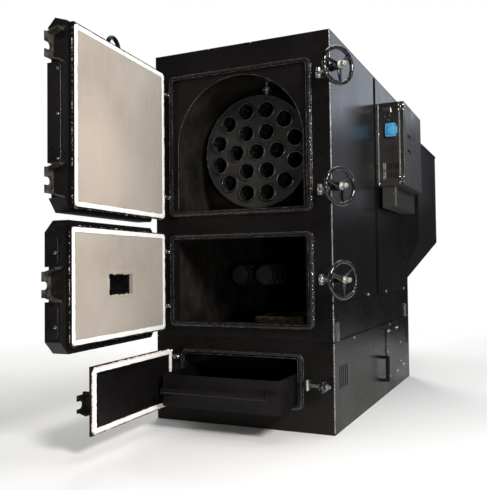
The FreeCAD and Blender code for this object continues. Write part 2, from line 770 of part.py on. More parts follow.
def insulated_door(name, bottom, top, hinge, hooks, cover_sizes, window):
    """Thick door: casing tray, refractory board, rope gasket and eight-sided cover."""
    half = frame_half + gasket_side
    z0, z1 = bottom - gasket_under, top + gasket_over
    pin_x, heights = hinge
    gasket_back = gasket_face - gasket_depth
    gasket = round_plate(-half, half, z0, z1, 12.0, gasket_back, gasket_face)
    gasket = gasket.cut(round_plate(-half + gasket_width, half - gasket_width, z0 + gasket_width,
                                    z1 - gasket_width, 6.0, gasket_back - 1, gasket_face + 1))
    inset = gasket_width + board_fit
    slab = box(-half, half, casing_back + casing_rim, gasket_back, z0, z1)
    raised = round_plate(-half + inset, half - inset, z0 + inset, z1 - inset, 6.0,
                         gasket_back, gasket_face - board_recess)
    board = join([slab, raised])
    over = casing_over
    tray = box(-half - over, half + over, casing_back, casing_face, z0 - over, z1 + over)
    tray = tray.cut(box(-half, half, casing_back + casing_rim, casing_face + 1, z0, z1))
    tray = join([tray] + [knuckle(pin_x, z, -half - over, hinge_y - knuckle_arm, hinge_y + knuckle_arm)
                          for z in heights])
    drop, rise, corner_height = cover_sizes
    cover = cut_corner_plate(-half - over + cover_hinge_short, half + over + cover_free_over,
                             z0 - over - drop, z1 + over + rise,
                             cover_corner, corner_height, cover_face, casing_back)
    cover = cover.cut([hook_pocket(x, z) for x, z in hooks])
    cover = join([cover] + [latch_hook(x, z, hook_face, hook_half_height, hook_behind, hook_flange)
                            for x, z in hooks])
    if window:
        w, h = peephole_width / 2, peephole_height / 2
        x, z = window
        hole = box(x - w, x + w, cover_face - 1, gasket_face + 1, z - h, z + h)
        p = peephole_wall
        frame = box(x - w, x + w, cover_face - peephole_stand, gasket_face - peephole_recess, z - h, z + h)
        frame = frame.cut(box(x - w + p, x + w - p, cover_face - peephole_stand + p, gasket_face + 1,
                              z - h + p, z + h - p))
        tray, board, cover = tray.cut(hole), board.cut(hole), cover.cut(hole)
        parts = {name + "_peephole": frame}
    else:
        parts = {}
    parts.update({name + "_casing": tray, name + "_board": board, name + "_gasket": gasket,
                  name + "_cover": cover})
    return parts


def cover_slope(extra):
    """Room over the upper cover's falling top, or under it."""
    z = upper_top + gasket_over + casing_over + upper_cover_rise
    fall = upper_cover_fall / cover_depth
    y0, y1 = cover_face - abs(extra), casing_back + abs(extra)
    return prism_yz([(y0, z - (y0 - cover_face) * fall), (y1, z - (y1 - cover_face) * fall),
                     (y1, z + extra), (y0, z + extra)], -half_width, half_width)


def lifting_eye():
    """Bent bar on top of the upper door's cover."""
    z = upper_top + gasket_over + casing_over + upper_cover_rise - eye_sink
    y = (cover_face + casing_back) / 2
    bend = Part.makeTorus(eye_width / 2 - eye_bar, eye_bar, V(-eye_shift, y, z), V(0, 1, 0))
    return bend.cut(cover_slope(-eye_width))


def ash_door():
    """Thin ash door: plate with knuckles and hook, gasket strip and inner baffle."""
    half = ash_half + ash_plate_over
    z0, z1 = ash_bottom - ash_plate_over, ash_top + ash_plate_over
    pin_x, heights = hinge_places()["ash"]
    bolt_x, bolt_z = bolt_places()["ash"]
    back = gasket_face - ash_gasket_depth
    plate = box(-half, half, back - ash_plate, back, z0, z1)
    plate = join([plate] + [knuckle(pin_x, z, -half, hinge_y - ash_knuckle_arm, hinge_y + knuckle_arm)
                            for z in heights])
    face = back - ash_hook_stand
    depth = ash_hook_stand - hook_plate
    hook = latch_hook(bolt_x, bolt_z, face, ash_hook_half_height, bolt_x - half, depth)
    reach = ash_hook_half_height + hook_flare * depth / hook_flange
    post = box(half - ash_post, half, face, back, bolt_z - reach, bolt_z + reach)
    outer, low, high = ash_half + gasket_side, ash_bottom - gasket_side, ash_top + gasket_side
    w = ash_gasket_width
    gasket = round_plate(-outer, outer, low, high, 10.0, back, gasket_face)
    gasket = gasket.cut(round_plate(w - outer, outer - w, low + w, high - w, 5.0, back - 1, gasket_face + 1))
    half_baffle = ash_half - ash_baffle_inset
    baffle = box(-half_baffle, half_baffle, back, back + ash_baffle,
                 ash_bottom + ash_baffle_inset, ash_top - ash_baffle_inset)
    return {"ash_door_plate": join([plate, hook, post]), "ash_door_gasket": gasket, "ash_door_baffle": baffle}


def ash_drawer():
    """Open drawer and its bar handle, at rest."""
    z0 = drawer_floor
    back = drawer_face + drawer_length
    d, f = drawer_half, drawer_sheet
    pan = box(-d, d, drawer_face, back, z0, z0 + drawer_height)
    inside = box(-d + f, d - f, drawer_face + drawer_front_sheet, back - f, z0 + f, z0 + drawer_height + 1)
    pan = pan.cut(inside)
    half = d - drawer_bar_inset
    bar_y, bar_z = drawer_face - drawer_bar_stand, z0 + drawer_bar_rise
    parts = [rod(V(-half, bar_y, bar_z), V(1, 0, 0), drawer_bar_radius, 2 * half)]
    for s in (-1, 1):
        x = s * (half - drawer_post_inset)
        parts.append(rod(V(x, bar_y, bar_z), V(0, 1, 0), drawer_post_radius, drawer_bar_stand))
        parts.append(rod(V(x, drawer_face - drawer_foot_sheet, bar_z), V(0, 1, 0),
                         drawer_foot_radius, drawer_foot_sheet))
        parts.append(rod(V(s * half - drawer_end_cap / 2, bar_y, bar_z), V(1, 0, 0),
                         drawer_end_radius, drawer_end_cap))
    return {"ash_drawer_pan": pan, "ash_drawer_handle": join(parts)}


def swing_bolt(x, z, length, tail):
    """Eye and shank of a swing bolt, pointing to -Y when shut."""
    low = z - bolt_eye_height / 2
    parts = [rod(V(x, bolt_y, low), V(0, 0, 1), bolt_eye_radius, bolt_eye_height),
             rod(V(x, bolt_y, z), V(0, -1, 0), bolt_radius, length)] + tail
    return join(parts).cut(rod(V(x, bolt_y, low - 1), V(0, 0, 1), pin_radius + pin_fit, bolt_eye_height + 2))


def handwheel(x, z):
    """Round-rimmed wheel, its spokes, hub and nut, on a shut bolt."""
    y = bolt_y - wheel_distance
    seat = hook_face - wheel_seat_gap
    rim_path = wheel_diameter / 2 - wheel_rim_radius
    rim = Part.makeTorus(rim_path, wheel_rim_radius, V(x, y, z), V(0, 1, 0))
    hub = rod(V(x, seat, z), V(0, -1, 0), wheel_hub_radius, seat - y + wheel_hub_front)
    nut = rod(V(x, y - wheel_hub_front, z), V(0, -1, 0), nut_radius, nut_length)
    spokes = []
    for i in range(spoke_count):
        a = radians(spoke_start + i * 360 / spoke_count)
        spokes.append(rod(V(x, y, z), V(cos(a), 0, sin(a)), spoke_radius, rim_path))
    wheel = join([rim, hub, nut] + spokes)
    return wheel.cut(rod(V(x, bolt_y, z), V(0, -1, 0), bolt_radius + wheel_fit, bolt_length + 1))


def star_knob(x, z):
    """Lobed knob on the shut ash bolt."""
    y = bolt_y - ash_washer_distance - ash_washer - knob_gap
    body = rod(V(x, y, z), V(0, -1, 0), knob_radius - knob_lobe, knob_length)
    lobes = []
    for i in range(knob_lobes):
        a = 2 * pi * i / knob_lobes
        reach = knob_radius - knob_lobe
        lobes.append(rod(V(x + reach * cos(a), y - knob_lobe_step, z + reach * sin(a)), V(0, -1, 0),
                         knob_lobe, knob_length - 2 * knob_lobe_step))
    knob = join([body] + lobes + [rod(V(x, y - knob_length, z), V(0, -1, 0), nut_radius, nut_length)])
    return knob.cut(rod(V(x, bolt_y, z), V(0, -1, 0), bolt_radius + wheel_fit, ash_bolt_length + 1))


def bolt_parts():
    """The four swing bolts with their wheels and knob, turned out to rest."""
    parts = {}
    for name, (x, z) in bolt_places().items():
        if name == "ash":
            washer = rod(V(x, bolt_y - ash_washer_distance, z), V(0, -1, 0), ash_washer_radius, ash_washer)
            pieces = {"ash_bolt": swing_bolt(x, z, ash_bolt_length, [washer]), "ash_knob": star_knob(x, z)}
            angle = ash_bolt_angle
        else:
            pieces = {name + "_bolt": swing_bolt(x, z, bolt_length, []), name + "_handwheel": handwheel(x, z)}
            angle = {"top": top_bolt_angle, "centre": centre_bolt_angle, "fire": fire_bolt_angle}[name]
        for node, shape in pieces.items():
            parts[node] = swung(shape, x, bolt_y, angle)
    return parts


def door_parts():
    """The three doors, turned open to rest."""
    hinges, bolts = hinge_places(), bolt_places()
    window = (peephole_shift, (middle_top + middle_bottom) / 2 - peephole_drop)
    upper = insulated_door("upper_door", upper_bottom, upper_top, hinges["upper"],
                           [bolts["top"], bolts["centre"]],
                           (upper_cover_drop, upper_cover_rise, upper_cover_corner_height), None)
    upper["upper_door_cover"] = upper["upper_door_cover"].cut(cover_slope(upper_cover_fall))
    upper["upper_door_eye"] = lifting_eye()
    middle = insulated_door("middle_door", middle_bottom, middle_top, hinges["middle"],
                            [bolts["fire"]],
                            (middle_cover_drop, middle_cover_rise, middle_cover_corner_height), window)
    parts = {}
    for pieces, pin, angle in ((upper, hinges["upper"], upper_door_angle),
                               (middle, hinges["middle"], middle_door_angle),
                               (ash_door(), hinges["ash"], ash_door_angle)):
        for node, shape in pieces.items():
            parts[node] = swung(shape, pin[0], hinge_y, -angle)
    return parts


def build():
    """Every node of the boiler, by name."""
    nodes = {}
    openings = ((frame_half, upper_bottom, upper_top), (frame_half, middle_bottom, middle_top),
                (ash_half, ash_bottom, ash_top))
    frames = [door_frame(*opening) for opening in openings]
    nodes["door_frames"] = Part.makeCompound(frames)
    nodes["front_plate"] = front_plate()
    nodes["ash_chamber"] = ash_chamber()
    for group in (base_parts, cladding_parts, smoke_parts, furnace_parts, cabinet_parts, hopper_parts,
                  fitting_parts, lug_parts, door_parts, ash_drawer, bolt_parts):
        nodes.update(group())
    return nodes


os.makedirs("parts", exist_ok=True)
for node, shape in build().items():
    shape.exportStep("parts/" + node + ".step")
    print(node, len(shape.Solids), shape.isValid(), round(shape.Volume / 1e6, 3))
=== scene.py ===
import json
import math
import bmesh
import bpy
import numpy as np
from mathutils import Matrix, Vector


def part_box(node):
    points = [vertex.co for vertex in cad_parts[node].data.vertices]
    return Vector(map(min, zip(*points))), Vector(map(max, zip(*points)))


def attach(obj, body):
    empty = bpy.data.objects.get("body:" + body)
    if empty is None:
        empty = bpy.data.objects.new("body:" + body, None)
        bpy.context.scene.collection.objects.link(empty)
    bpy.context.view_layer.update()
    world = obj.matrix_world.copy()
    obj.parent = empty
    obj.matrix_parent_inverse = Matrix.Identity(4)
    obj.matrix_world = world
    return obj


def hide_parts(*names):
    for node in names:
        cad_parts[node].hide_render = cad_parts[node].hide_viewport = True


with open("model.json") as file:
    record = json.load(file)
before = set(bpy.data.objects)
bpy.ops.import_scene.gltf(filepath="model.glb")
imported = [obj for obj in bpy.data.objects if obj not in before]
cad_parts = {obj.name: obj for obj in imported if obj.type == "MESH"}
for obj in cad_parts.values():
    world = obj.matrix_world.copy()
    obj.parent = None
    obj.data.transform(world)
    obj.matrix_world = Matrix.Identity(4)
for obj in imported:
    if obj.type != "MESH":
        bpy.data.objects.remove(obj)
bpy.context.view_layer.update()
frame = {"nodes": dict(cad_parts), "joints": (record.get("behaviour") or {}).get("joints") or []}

nodes = frame["nodes"]
joints = {joint["name"]: joint for joint in frame["joints"]}
print("frame loaded:", len(nodes), "nodes")


# surfaces: every shape is rings of points, computed as whole arrays

depthAxis = np.array([0.0, 1.0, 0.0])


def circle(count):
    # cosine and sine of evenly stepped angles, one row for each
    angle = np.arange(count) * 2 * math.pi / count
    return np.stack([np.cos(angle), np.sin(angle)], -1)


def onFace(outline, normal, y, middleZ, shiftX=0.0):
    # a flat outline (x, z) stood upright at depth y, with its outward normals
    depth = np.full(len(outline), y)
    path = np.column_stack([outline[:, 0] + shiftX, depth, outline[:, 1] + middleZ])
    return path, np.column_stack([normal[:, 0], np.zeros(len(outline)), normal[:, 1]])


def ringStack(rings):
    # rings[k, n] is a closed ring of n points; neighbours are joined by quads and both ends by a fan to their middle
    rings = np.asarray(rings, float)
    count, around = rings.shape[:2]
    k = np.arange(count - 1)[:, None]
    j = np.arange(around)[None, :]
    nextJ = (j + 1) % around
    quads = np.stack([k * around + j, k * around + nextJ, (k + 1) * around + nextJ, (k + 1) * around + j], -1)
    points = np.concatenate([rings.reshape(-1, 3), rings[:1].mean(1), rings[-1:].mean(1)])
    j = np.arange(around)
    nextJ = (j + 1) % around
    first = np.stack([nextJ, j, np.full(around, count * around)], -1)
    last = (count - 1) * around
    end = np.stack([last + j, last + nextJ, np.full(around, count * around + 1)], -1)
    return points, quads.reshape(-1, 4), np.concatenate([first, end])


def loopSweep(path, outward, upward, section):
    # a section (out, up) carried round a closed path: point = path + out * outward + up * upward
    section = np.asarray(section, float)
    if section.ndim == 2:
        section = np.broadcast_to(section, (len(path),) + section.shape)
    points = path[:, None] + section[..., :1] * outward[:, None] + section[..., 1:] * upward
    count, around = points.shape[:2]
    i = np.arange(count)[:, None]
    j = np.arange(around)[None, :]
    nextI, nextJ = (i + 1) % count, (j + 1) % around
    quads = np.stack([i * around + j, nextI * around + j, nextI * around + nextJ, i * around + nextJ], -1)
    return points.reshape(-1, 3), quads.reshape(-1, 4), np.zeros((0, 3), int)


def roundRectangle(halfU, halfV, radius, step):
    # evenly stepped rounded rectangle about 0: positions, outward normals and the length so far
    straight = [2 * (halfV - radius), 2 * (halfU - radius)] * 2
    arc = math.pi / 2 * radius
    total = sum(straight) + 4 * arc
    count = max(16, int(round(total / step / 4)) * 4)
    s = np.arange(count) * total / count
    position = np.zeros((count, 2))
    normal = np.zeros((count, 2))
    corners = np.array([[halfU - radius, halfV - radius], [radius - halfU, halfV - radius],
                        [radius - halfU, radius - halfV], [halfU - radius, radius - halfV]])
    begin = 0.0
    for side in range(4):
        turn = side * math.pi / 2
        out = np.array([math.cos(turn), math.sin(turn)])
        along = np.array([-out[1], out[0]])
        t = s - begin
        line = (t >= 0) & (t < straight[side])
        start = corners[side - 1] + radius * out
        position[line] = start + t[line, None] * along
        normal[line] = out
        t = t - straight[side]
        bend = (t >= 0) & (t < arc)
        angle = turn + t[bend] / radius
        normal[bend] = np.stack([np.cos(angle), np.sin(angle)], -1)
        position[bend] = corners[side] + radius * normal[bend]
        begin += straight[side] + arc
    return position, normal, s


def spin(profile, around=24, ripple=None):
    # a profile (radius, height) turned about its own w axis; ripple scales the radius by angle
    profile = np.asarray(profile, float)
    angle = np.arange(around) * 2 * math.pi / around
    scale = np.ones(around) if ripple is None else ripple(angle)
    radius = profile[:, :1] * scale
    height = np.broadcast_to(profile[:, 1:], radius.shape)
    return ringStack(np.stack([radius * np.cos(angle), radius * np.sin(angle), height], -1))


def softPlate(halfU, halfV, radius, thickness, edge=0.0012, step=0.012):
    # rounded plate: its outline drawn in and raised along a quarter circle, then closed to the middle
    position, normal, _ = roundRectangle(halfU, halfV, radius, step)
    turn = np.linspace(0, math.pi / 2, 4)
    rings = [np.column_stack([position, np.zeros(len(position))])]
    for a in turn:
        inset = edge * (1 - math.cos(a))
        rings.append(np.column_stack([position - inset * normal,
                                      np.full(len(position), thickness - edge + edge * math.sin(a))]))
    return ringStack(rings)


def sixSided(angle):
    # how far a hexagon's side stands out at each angle, for a flat distance of 1
    return 1 / np.cos((angle + math.pi / 6) % (math.pi / 3) - math.pi / 6)


def bar(start, end, radius, around=12, ends=0.25):
    # a round bar between two points whose ends are drawn in along a quarter circle
    start, end = np.asarray(start, float), np.asarray(end, float)
    axis = (end - start) / np.linalg.norm(end - start)
    side = np.cross(axis, [0.0, 0.0, 1.0] if abs(axis[2]) < 0.9 else [1.0, 0.0, 0.0])
    side /= np.linalg.norm(side)
    other = np.cross(axis, side)
    small = radius * ends
    length = np.linalg.norm(end - start)
    profile = [(radius - small, 0), (radius, small), (radius, length - small), (radius - small, length)]
    points, quads, tris = spin(profile, around)
    return points @ np.stack([side, other, axis]) + start, quads, tris


def placed(surface, origins, uAxis, vAxis, wAxis):
    # copies of a local surface (u, v, w) at each origin
    points, quads, tris = surface
    origins = np.atleast_2d(np.asarray(origins, float))
    turned = points @ np.array([uAxis, vAxis, wAxis], float)
    many = (origins[:, None] + turned[None]).reshape(-1, 3)
    shift = (np.arange(len(origins)) * len(points))[:, None, None]
    return many, (quads[None] + shift).reshape(-1, 4), (tris[None] + shift).reshape(-1, 3)


front = ((1, 0, 0), (0, 0, 1), (0, -1, 0))        # u, v, w of a face that looks to -Y
rightSide = ((0, 1, 0), (0, 0, 1), (1, 0, 0))     # and of one that looks to +X
leftSide = ((0, -1, 0), (0, 0, 1), (-1, 0, 0))
topSide = ((1, 0, 0), (0, 1, 0), (0, 0, 1))
underSide = ((1, 0, 0), (0, -1, 0), (0, 0, -1))


def restFromShut(points, jointName):
    # turns points of a shut door or bolt about its pin to where the frame holds it at rest
    joint = joints[jointName]
    low = joint["range_deg"][0] if "range_deg" in joint else math.degrees(joint["range"][0])
    turn = np.array(Matrix.Rotation(math.radians(-low), 3, Vector(joint["axis"])))
    pin = np.array(joint["pos_m"])
    return (points - pin) @ turn.T + pin


def makePiece(name, surfaces, body, finish, joint=None, smooth=True, replaces=()):
    # one mesh from several surfaces, turned to rest if it is described shut, riding on a body
    offset, allPoints, allFaces = 0, [], []
    for points, quads, tris in surfaces:
        allPoints.append(points)
        allFaces += (quads + offset).tolist() + (tris + offset).tolist()
        offset += len(points)
    points = np.concatenate(allPoints)
    if joint:
        points = restFromShut(points, joint)
    mesh = bpy.data.meshes.new(name)
    mesh.from_pydata(points, [], allFaces)
    work = bmesh.new()
    work.from_mesh(mesh)
    bmesh.ops.recalc_face_normals(work, faces=work.faces)
    work.to_mesh(mesh)
    work.free()
    if smooth:
        mesh.shade_smooth()
        mesh.set_sharp_from_angle(angle=math.radians(42))
    mesh.materials.append(finishes[finish])
    piece = bpy.data.objects.new(name, mesh)
    bpy.context.scene.collection.objects.link(piece)
    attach(piece, body)
    if replaces:
        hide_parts(*replaces)
    return piece


def fit(name, finish, slot, *sets):
    # fittings on the boiler: each set is a local surface, its places and the face that it stands on
    makePiece(name, [placed(surface, places, *face) for surface, places, face in sets], "boiler", finish)


# finishes

class Wire:
    # one shader output; + - * between wires and numbers add Math nodes
    def __init__(self, finish, socket):
        self.finish, self.socket = finish, socket

    def maths(self, operation, other, turned=False):
        pair = (other, self) if turned else (self, other)
        return self.finish.node("ShaderNodeMath", {"operation": operation}, {0: pair[0], 1: pair[1]})

    def __add__(self, other): return self.maths("ADD", other)
    def __radd__(self, other): return self.maths("ADD", other, True)
    def __sub__(self, other): return self.maths("SUBTRACT", other)
    def __rsub__(self, other): return self.maths("SUBTRACT", other, True)
    def __mul__(self, other): return self.maths("MULTIPLY", other)
    def __rmul__(self, other): return self.maths("MULTIPLY", other, True)
    def above(self, other): return self.maths("GREATER_THAN", other)
    def held(self): return self.finish.node("ShaderNodeClamp", {}, {"Value": self})


class Finish:
    # a material under construction: a Principled shader and the nodes that feed it
    def __init__(self, name, **constants):
        self.material = bpy.data.materials.new(name)
        self.material.use_nodes = True
        self.tree = self.material.node_tree
        self.shader = self.tree.nodes["Principled BSDF"]
        for key, value in constants.items():
            self.shader.inputs[key.replace("_", " ")].default_value = value
        self.place = self.node("ShaderNodeTexCoord", {}, {}, "Object")

    def node(self, kind, settings, inputs, output=0):
        made = self.tree.nodes.new(kind)
        for key, value in settings.items():
            if key == "stops":
                ramp = made.color_ramp
                while len(ramp.elements) < len(value):
                    ramp.elements.new(0.5)
                for element, (position, colour) in zip(ramp.elements, value):
                    element.position = position
                    element.color = (*colour, 1)
            else:
                setattr(made, key, value)
        for key, value in inputs.items():
            if isinstance(value, Wire):
                self.tree.links.new(value.socket, made.inputs[key])
            else:
                made.inputs[key].default_value = value
        return Wire(self, made.outputs[output])

    def noise(self, scale, detail=2.0, roughness=0.5, stretch=None):
        where = self.place
        if stretch:
            where = self.node("ShaderNodeVectorMath", {"operation": "MULTIPLY"}, {0: where, 1: stretch})
        return self.node("ShaderNodeTexNoise", {},
                         {"Vector": where, "Scale": scale, "Detail": detail, "Roughness": roughness})

    def cells(self, scale):
        return self.node("ShaderNodeTexVoronoi", {}, {"Vector": self.place, "Scale": scale}, "Distance")

    def axis(self, name):
        return self.node("ShaderNodeSeparateXYZ", {}, {0: self.place}, name)

    def between(self, wire, low, high, fromValue=0.0, toValue=1.0):
        return self.node("ShaderNodeMapRange", {"clamp": True},
                         {"Value": wire, "From Min": low, "From Max": high, "To Min": fromValue, "To Max": toValue})

    def blend(self, mask, first, second):
        colours = {6: first if isinstance(first, Wire) else (*first, 1),
                   7: second if isinstance(second, Wire) else (*second, 1)}
        return self.node("ShaderNodeMix", {"data_type": "RGBA"}, {0: mask, **colours}, 2)

    def bump(self, height, strength, distance):
        return self.node("ShaderNodeBump", {}, {"Height": height, "Strength": strength, "Distance": distance})

    def feed(self, **wires):
        for key, wire in wires.items():
            self.tree.links.new(wire.socket, self.shader.inputs[key.replace("_", " ")])
        return self.material


paintLook = {
    "glossBlack": {"dark": (0.0035, 0.0032, 0.0036), "light": (0.009, 0.0080, 0.0084), "rough": (0.17, 0.26),
                   "peel": 302.8, "peelStrength": 0.11, "specular": 0.16, "dust": 0.0},
    "frontBlack": {"dark": (0.0026, 0.0023, 0.0023), "light": (0.0078, 0.0068, 0.0066), "rough": (0.28, 0.42),
                   "peel": 420.0, "peelStrength": 0.05, "specular": 0.16, "dust": 0.0},
    "baseBlack": {"dark": (0.0028, 0.0025, 0.0023), "light": (0.0085, 0.0074, 0.0066), "rough": (0.22, 0.38),
                  "peel": 360.0, "peelStrength": 0.07, "specular": 0.12, "dust": 0.12},
    "coverBlack": {"dark": (0.0035, 0.0032, 0.0034), "light": (0.011, 0.0096, 0.0098), "rough": (0.22, 0.36),
                   "peel": 380.0, "peelStrength": 0.06, "specular": 0.22, "dust": 0.0,
                   "hooks": {"heights": (1.862, 1.258, 0.7965), "reach": (-1.953, -1.950)}},
}


def paint(name):
    # sprayed enamel: cloudy black, orange-peel bump, a little dust near the floor
    look = paintLook[name]
    finish = Finish(name, Specular_IOR_Level=look["specular"])
    cloud = finish.noise(2.2, 4.0, 0.6)
    fine = finish.noise(38.0, 3.0, 0.6)
    mask = finish.between(cloud * 0.75 + fine * 0.25, 0.35, 0.65)
    colour = finish.blend(mask, look["dark"], look["light"])
    rough = finish.between(cloud * 0.6 + fine * 0.4, 0.35, 0.65, *look["rough"])
    if look["dust"]:
        low = finish.between(finish.axis("Z") + finish.noise(5.0, 3.0) * 0.16, 0.06, 0.42, look["dust"], 0.0)
        colour = finish.blend(low, colour, (0.055, 0.050, 0.040))
        rough = rough + low * 0.5
    extra = {}
    speck = finish.noise(900.0, 1.0).above(0.70)
    colour = finish.blend(speck * 0.10, colour, (0.06, 0.06, 0.065))
    if "hooks" in look:
        height = finish.axis("Z")
        near = [finish.between((height - z) * (height - z), 0.0058, 0.0064, 1.0, 0.0)
                for z in look["hooks"]["heights"]]
        hook = (near[0] + near[1] + near[2]) * finish.between(finish.axis("Y"), *look["hooks"]["reach"], 1.0, 0.0)
        tone = finish.blend(finish.between(fine, 0.38, 0.62), (0.060, 0.052, 0.044), (0.23, 0.205, 0.18))
        colour = finish.blend(hook, colour, tone)
        rough = rough + hook * 0.10
        extra = {"Metallic": hook * 0.75}
    peel = finish.noise(look["peel"], 1.5, 0.5) + finish.noise(look["peel"] * 0.17, 1.0) * 0.8
    return finish.feed(Base_Color=colour, Roughness=rough.held(),
                       Normal=finish.bump(peel, look["peelStrength"], 0.004), **extra)


# cloud: a noise's scale, detail and roughness, then where it starts and ends; grain: noises and weights of the bump
plainLook = {
    # the bead black is lighter than the body paint: partly painted highlight on the edge and tube-foot beads
    "highlightBeadBlack": {"set": {"Specular_IOR_Level": 0.9}, "cloud": (35.0, 3.0, 0.5, 0.4, 0.66),
                  "colours": ((0.014, 0.013, 0.0125), (0.075, 0.072, 0.068)), "rough": (0.16, 0.28),
                  "grain": ((70.0, 2.0, 0.5, 1.0),), "bump": (0.1, 0.002)},
    "drumFace": {"set": {"Specular_IOR_Level": 0.35}, "cloud": (9.0, 5.0, 0.6, 0.35, 0.68),
                 "colours": ((0.012, 0.0115, 0.011), (0.030, 0.028, 0.026)), "rough": (0.34, 0.50),
                 "grain": ((300.0, 2.0, 0.5, 1.0), (60.0, 2.0, 0.5, 0.5)), "bump": (0.10, 0.003)},
    "tubeEnds": {"set": {"Specular_IOR_Level": 0.8}, "cloud": (55.0, 4.0, 0.7, 0.50, 0.66),
                 "colours": ((0.006, 0.0055, 0.005), (0.10, 0.094, 0.088)), "rough": (0.30, 0.20), "metal": 0.6,
                 "grain": ((180.0, 3.0, 0.5, 1.0),), "bump": (0.35, 0.002)},
    "wheelBlack": {"set": {"Specular_IOR_Level": 0.5, "Coat_Weight": 0.5, "Coat_Roughness": 0.08},
                   "cloud": (30.0, 3.0, 0.5, 0.4, 0.65),
                   "colours": ((0.0022, 0.0022, 0.0024), (0.005, 0.005, 0.0054)), "rough": (0.10, 0.18),
                   "grain": ((90.0, 2.0, 0.5, 1.0),), "bump": (0.05, 0.003)},
    "fringeFibre": {"set": {"Specular_IOR_Level": 0.15, "Sheen_Weight": 0.3}, "cloud": (90.0, 4.0, 0.7, 0.36, 0.66),
                    "colours": ((0.42, 0.25, 0.22), (0.94, 0.89, 0.86)), "rough": (0.95, 0.8),
                    "grain": ((380.0, 3.0, 0.7, 1.0),), "bump": (0.7, 0.002)},
    "firedClay": {"set": {"Specular_IOR_Level": 0.2}, "cloud": (40.0, 4.0, 0.65, 0.35, 0.7),
                  "colours": ((0.12, 0.088, 0.055), (0.30, 0.245, 0.17)), "rough": (0.9, 0.75),
                  "grain": ((300.0, 3.0, 0.5, 1.0),), "bump": (0.4, 0.003)},
    "mouldedBlue": {"set": {"Specular_IOR_Level": 0.45}, "cloud": (60.0, 2.0, 0.5, 0.35, 0.65),
                    "colours": ((0.035, 0.215, 0.42), (0.075, 0.33, 0.56)), "rough": (0.30, 0.42),
                    "grain": ((500.0, 1.0, 0.5, 1.0),), "bump": (0.08, 0.001)},
    # near-black for slots and recesses: painted shade
    "paintedShadeGap": {"set": {"Specular_IOR_Level": 0.1}, "cloud": (20.0, 2.0, 0.5, 0.3, 0.7),
                "colours": ((0.0012, 0.0012, 0.0012), (0.003, 0.003, 0.003)), "rough": (0.7, 0.9)},
}


def plainFinish(name):
    # one cloud leads the colour, the roughness and any metal; summed noises make the bump
    look = plainLook[name]
    finish = Finish(name, **look["set"])
    scale, detail, roughness, low, high = look["cloud"]
    cloud = finish.between(finish.noise(scale, detail, roughness), low, high)
    wires = {"Base_Color": finish.blend(cloud, *look["colours"]),
             "Roughness": finish.between(cloud, 0.0, 1.0, *look["rough"])}
    if "metal" in look:
        wires["Metallic"] = cloud * look["metal"]
    if "grain" in look:
        parts = [finish.noise(*values) * weight for *values, weight in look["grain"]]
        wires["Normal"] = finish.bump(sum(parts[1:], parts[0]), *look["bump"])
    return finish.feed(**wires)


def weldedBlack():
    finish = Finish("weldedBlack", Specular_IOR_Level=0.7)
    mask = finish.between(finish.noise(60.0, 4.0, 0.7), 0.45, 0.72)
    colour = finish.blend(mask, (0.005, 0.0046, 0.0045), (0.026, 0.024, 0.022))
    rough = finish.between(finish.noise(90.0, 2.0), 0.3, 0.7, 0.16, 0.34)
    lumps = finish.noise(140.0, 3.0, 0.6) + finish.cells(160.0) * 0.5
    return finish.feed(Base_Color=colour, Roughness=rough, Normal=finish.bump(lumps, 0.5, 0.003))


def wornAndHighlightEdge():
    # bright steel-coloured runs over the black: on the front corner they are a painted highlight along the edge,
    # drawn as paint rubbed through to steel
    finish = Finish("wornAndHighlightEdge", Specular_IOR_Level=0.8)
    brightRun = finish.between(finish.noise(120.0, 4.0, 0.7), 0.38, 0.58)
    colour = finish.blend(brightRun, (0.010, 0.009, 0.009), (0.36, 0.355, 0.35))
    return finish.feed(Base_Color=colour, Metallic=brightRun * 0.7,
                       Roughness=finish.between(brightRun, 0.0, 1.0, 0.24, 0.34),
                       Normal=finish.bump(brightRun + finish.noise(150.0, 2.0), 0.3, 0.001))


def primedSteel():
    # the inside of the boiler: flat dark primer with dusty, rusty clouds
    finish = Finish("primedSteel", Specular_IOR_Level=0.22)
    cloud = finish.between(finish.noise(6.0, 5.0, 0.65), 0.38, 0.66)
    colour = finish.blend(cloud, (0.0065, 0.0058, 0.0052), (0.019, 0.0165, 0.014))
    rust = finish.between(finish.noise(23.0, 4.0, 0.7), 0.60, 0.74, 0.0, 0.35)
    colour = finish.blend(rust, colour, (0.034, 0.016, 0.009))
    grain = finish.noise(260.0, 2.0) + finish.noise(45.0, 2.0) * 0.6
    return finish.feed(Base_Color=colour, Roughness=finish.between(cloud, 0.0, 1.0, 0.42, 0.66),
                       Normal=finish.bump(grain, 0.16, 0.003))


def zincPlate(name="zincPlate", tone=(0.50, 0.51, 0.50), rough=(0.20, 0.38)):
    # plated steel: spangled cells under fine turning marks
    finish = Finish(name, Metallic=1.0)
    spangle = finish.between(finish.cells(170.0) + finish.noise(40.0, 3.0) * 0.4, 0.1, 0.8)
    darker = tuple(0.62 * value for value in tone)
    colour = finish.blend(spangle, tone, darker)
    marks = finish.noise(30.0, 2.0, 0.5, (1.0, 1.0, 40.0))
    return finish.feed(Base_Color=colour, Roughness=finish.between(spangle, 0.0, 1.0, *rough),
                       Normal=finish.bump(marks, 0.12, 0.001))


def ropeFibre():
    # glass-fibre braid: crossed yarns come from the mesh, loose fibres and grime from here
    finish = Finish("ropeFibre", Specular_IOR_Level=0.2, Sheen_Weight=0.4, Sheen_Roughness=0.5)
    hair = finish.noise(420.0, 3.0, 0.7)
    grime = finish.between(finish.noise(26.0, 4.0, 0.7), 0.56, 0.72, 0.0, 0.55)
    colour = finish.blend(finish.between(hair, 0.3, 0.7), (0.80, 0.775, 0.75), (0.98, 0.97, 0.95))
    colour = finish.blend(grime, colour, (0.74, 0.60, 0.54))
    return finish.feed(Base_Color=colour, Roughness=finish.between(hair, 0.3, 0.7, 0.9, 0.75),
                       Normal=finish.bump(hair + finish.noise(160.0, 2.0), 0.55, 0.002))


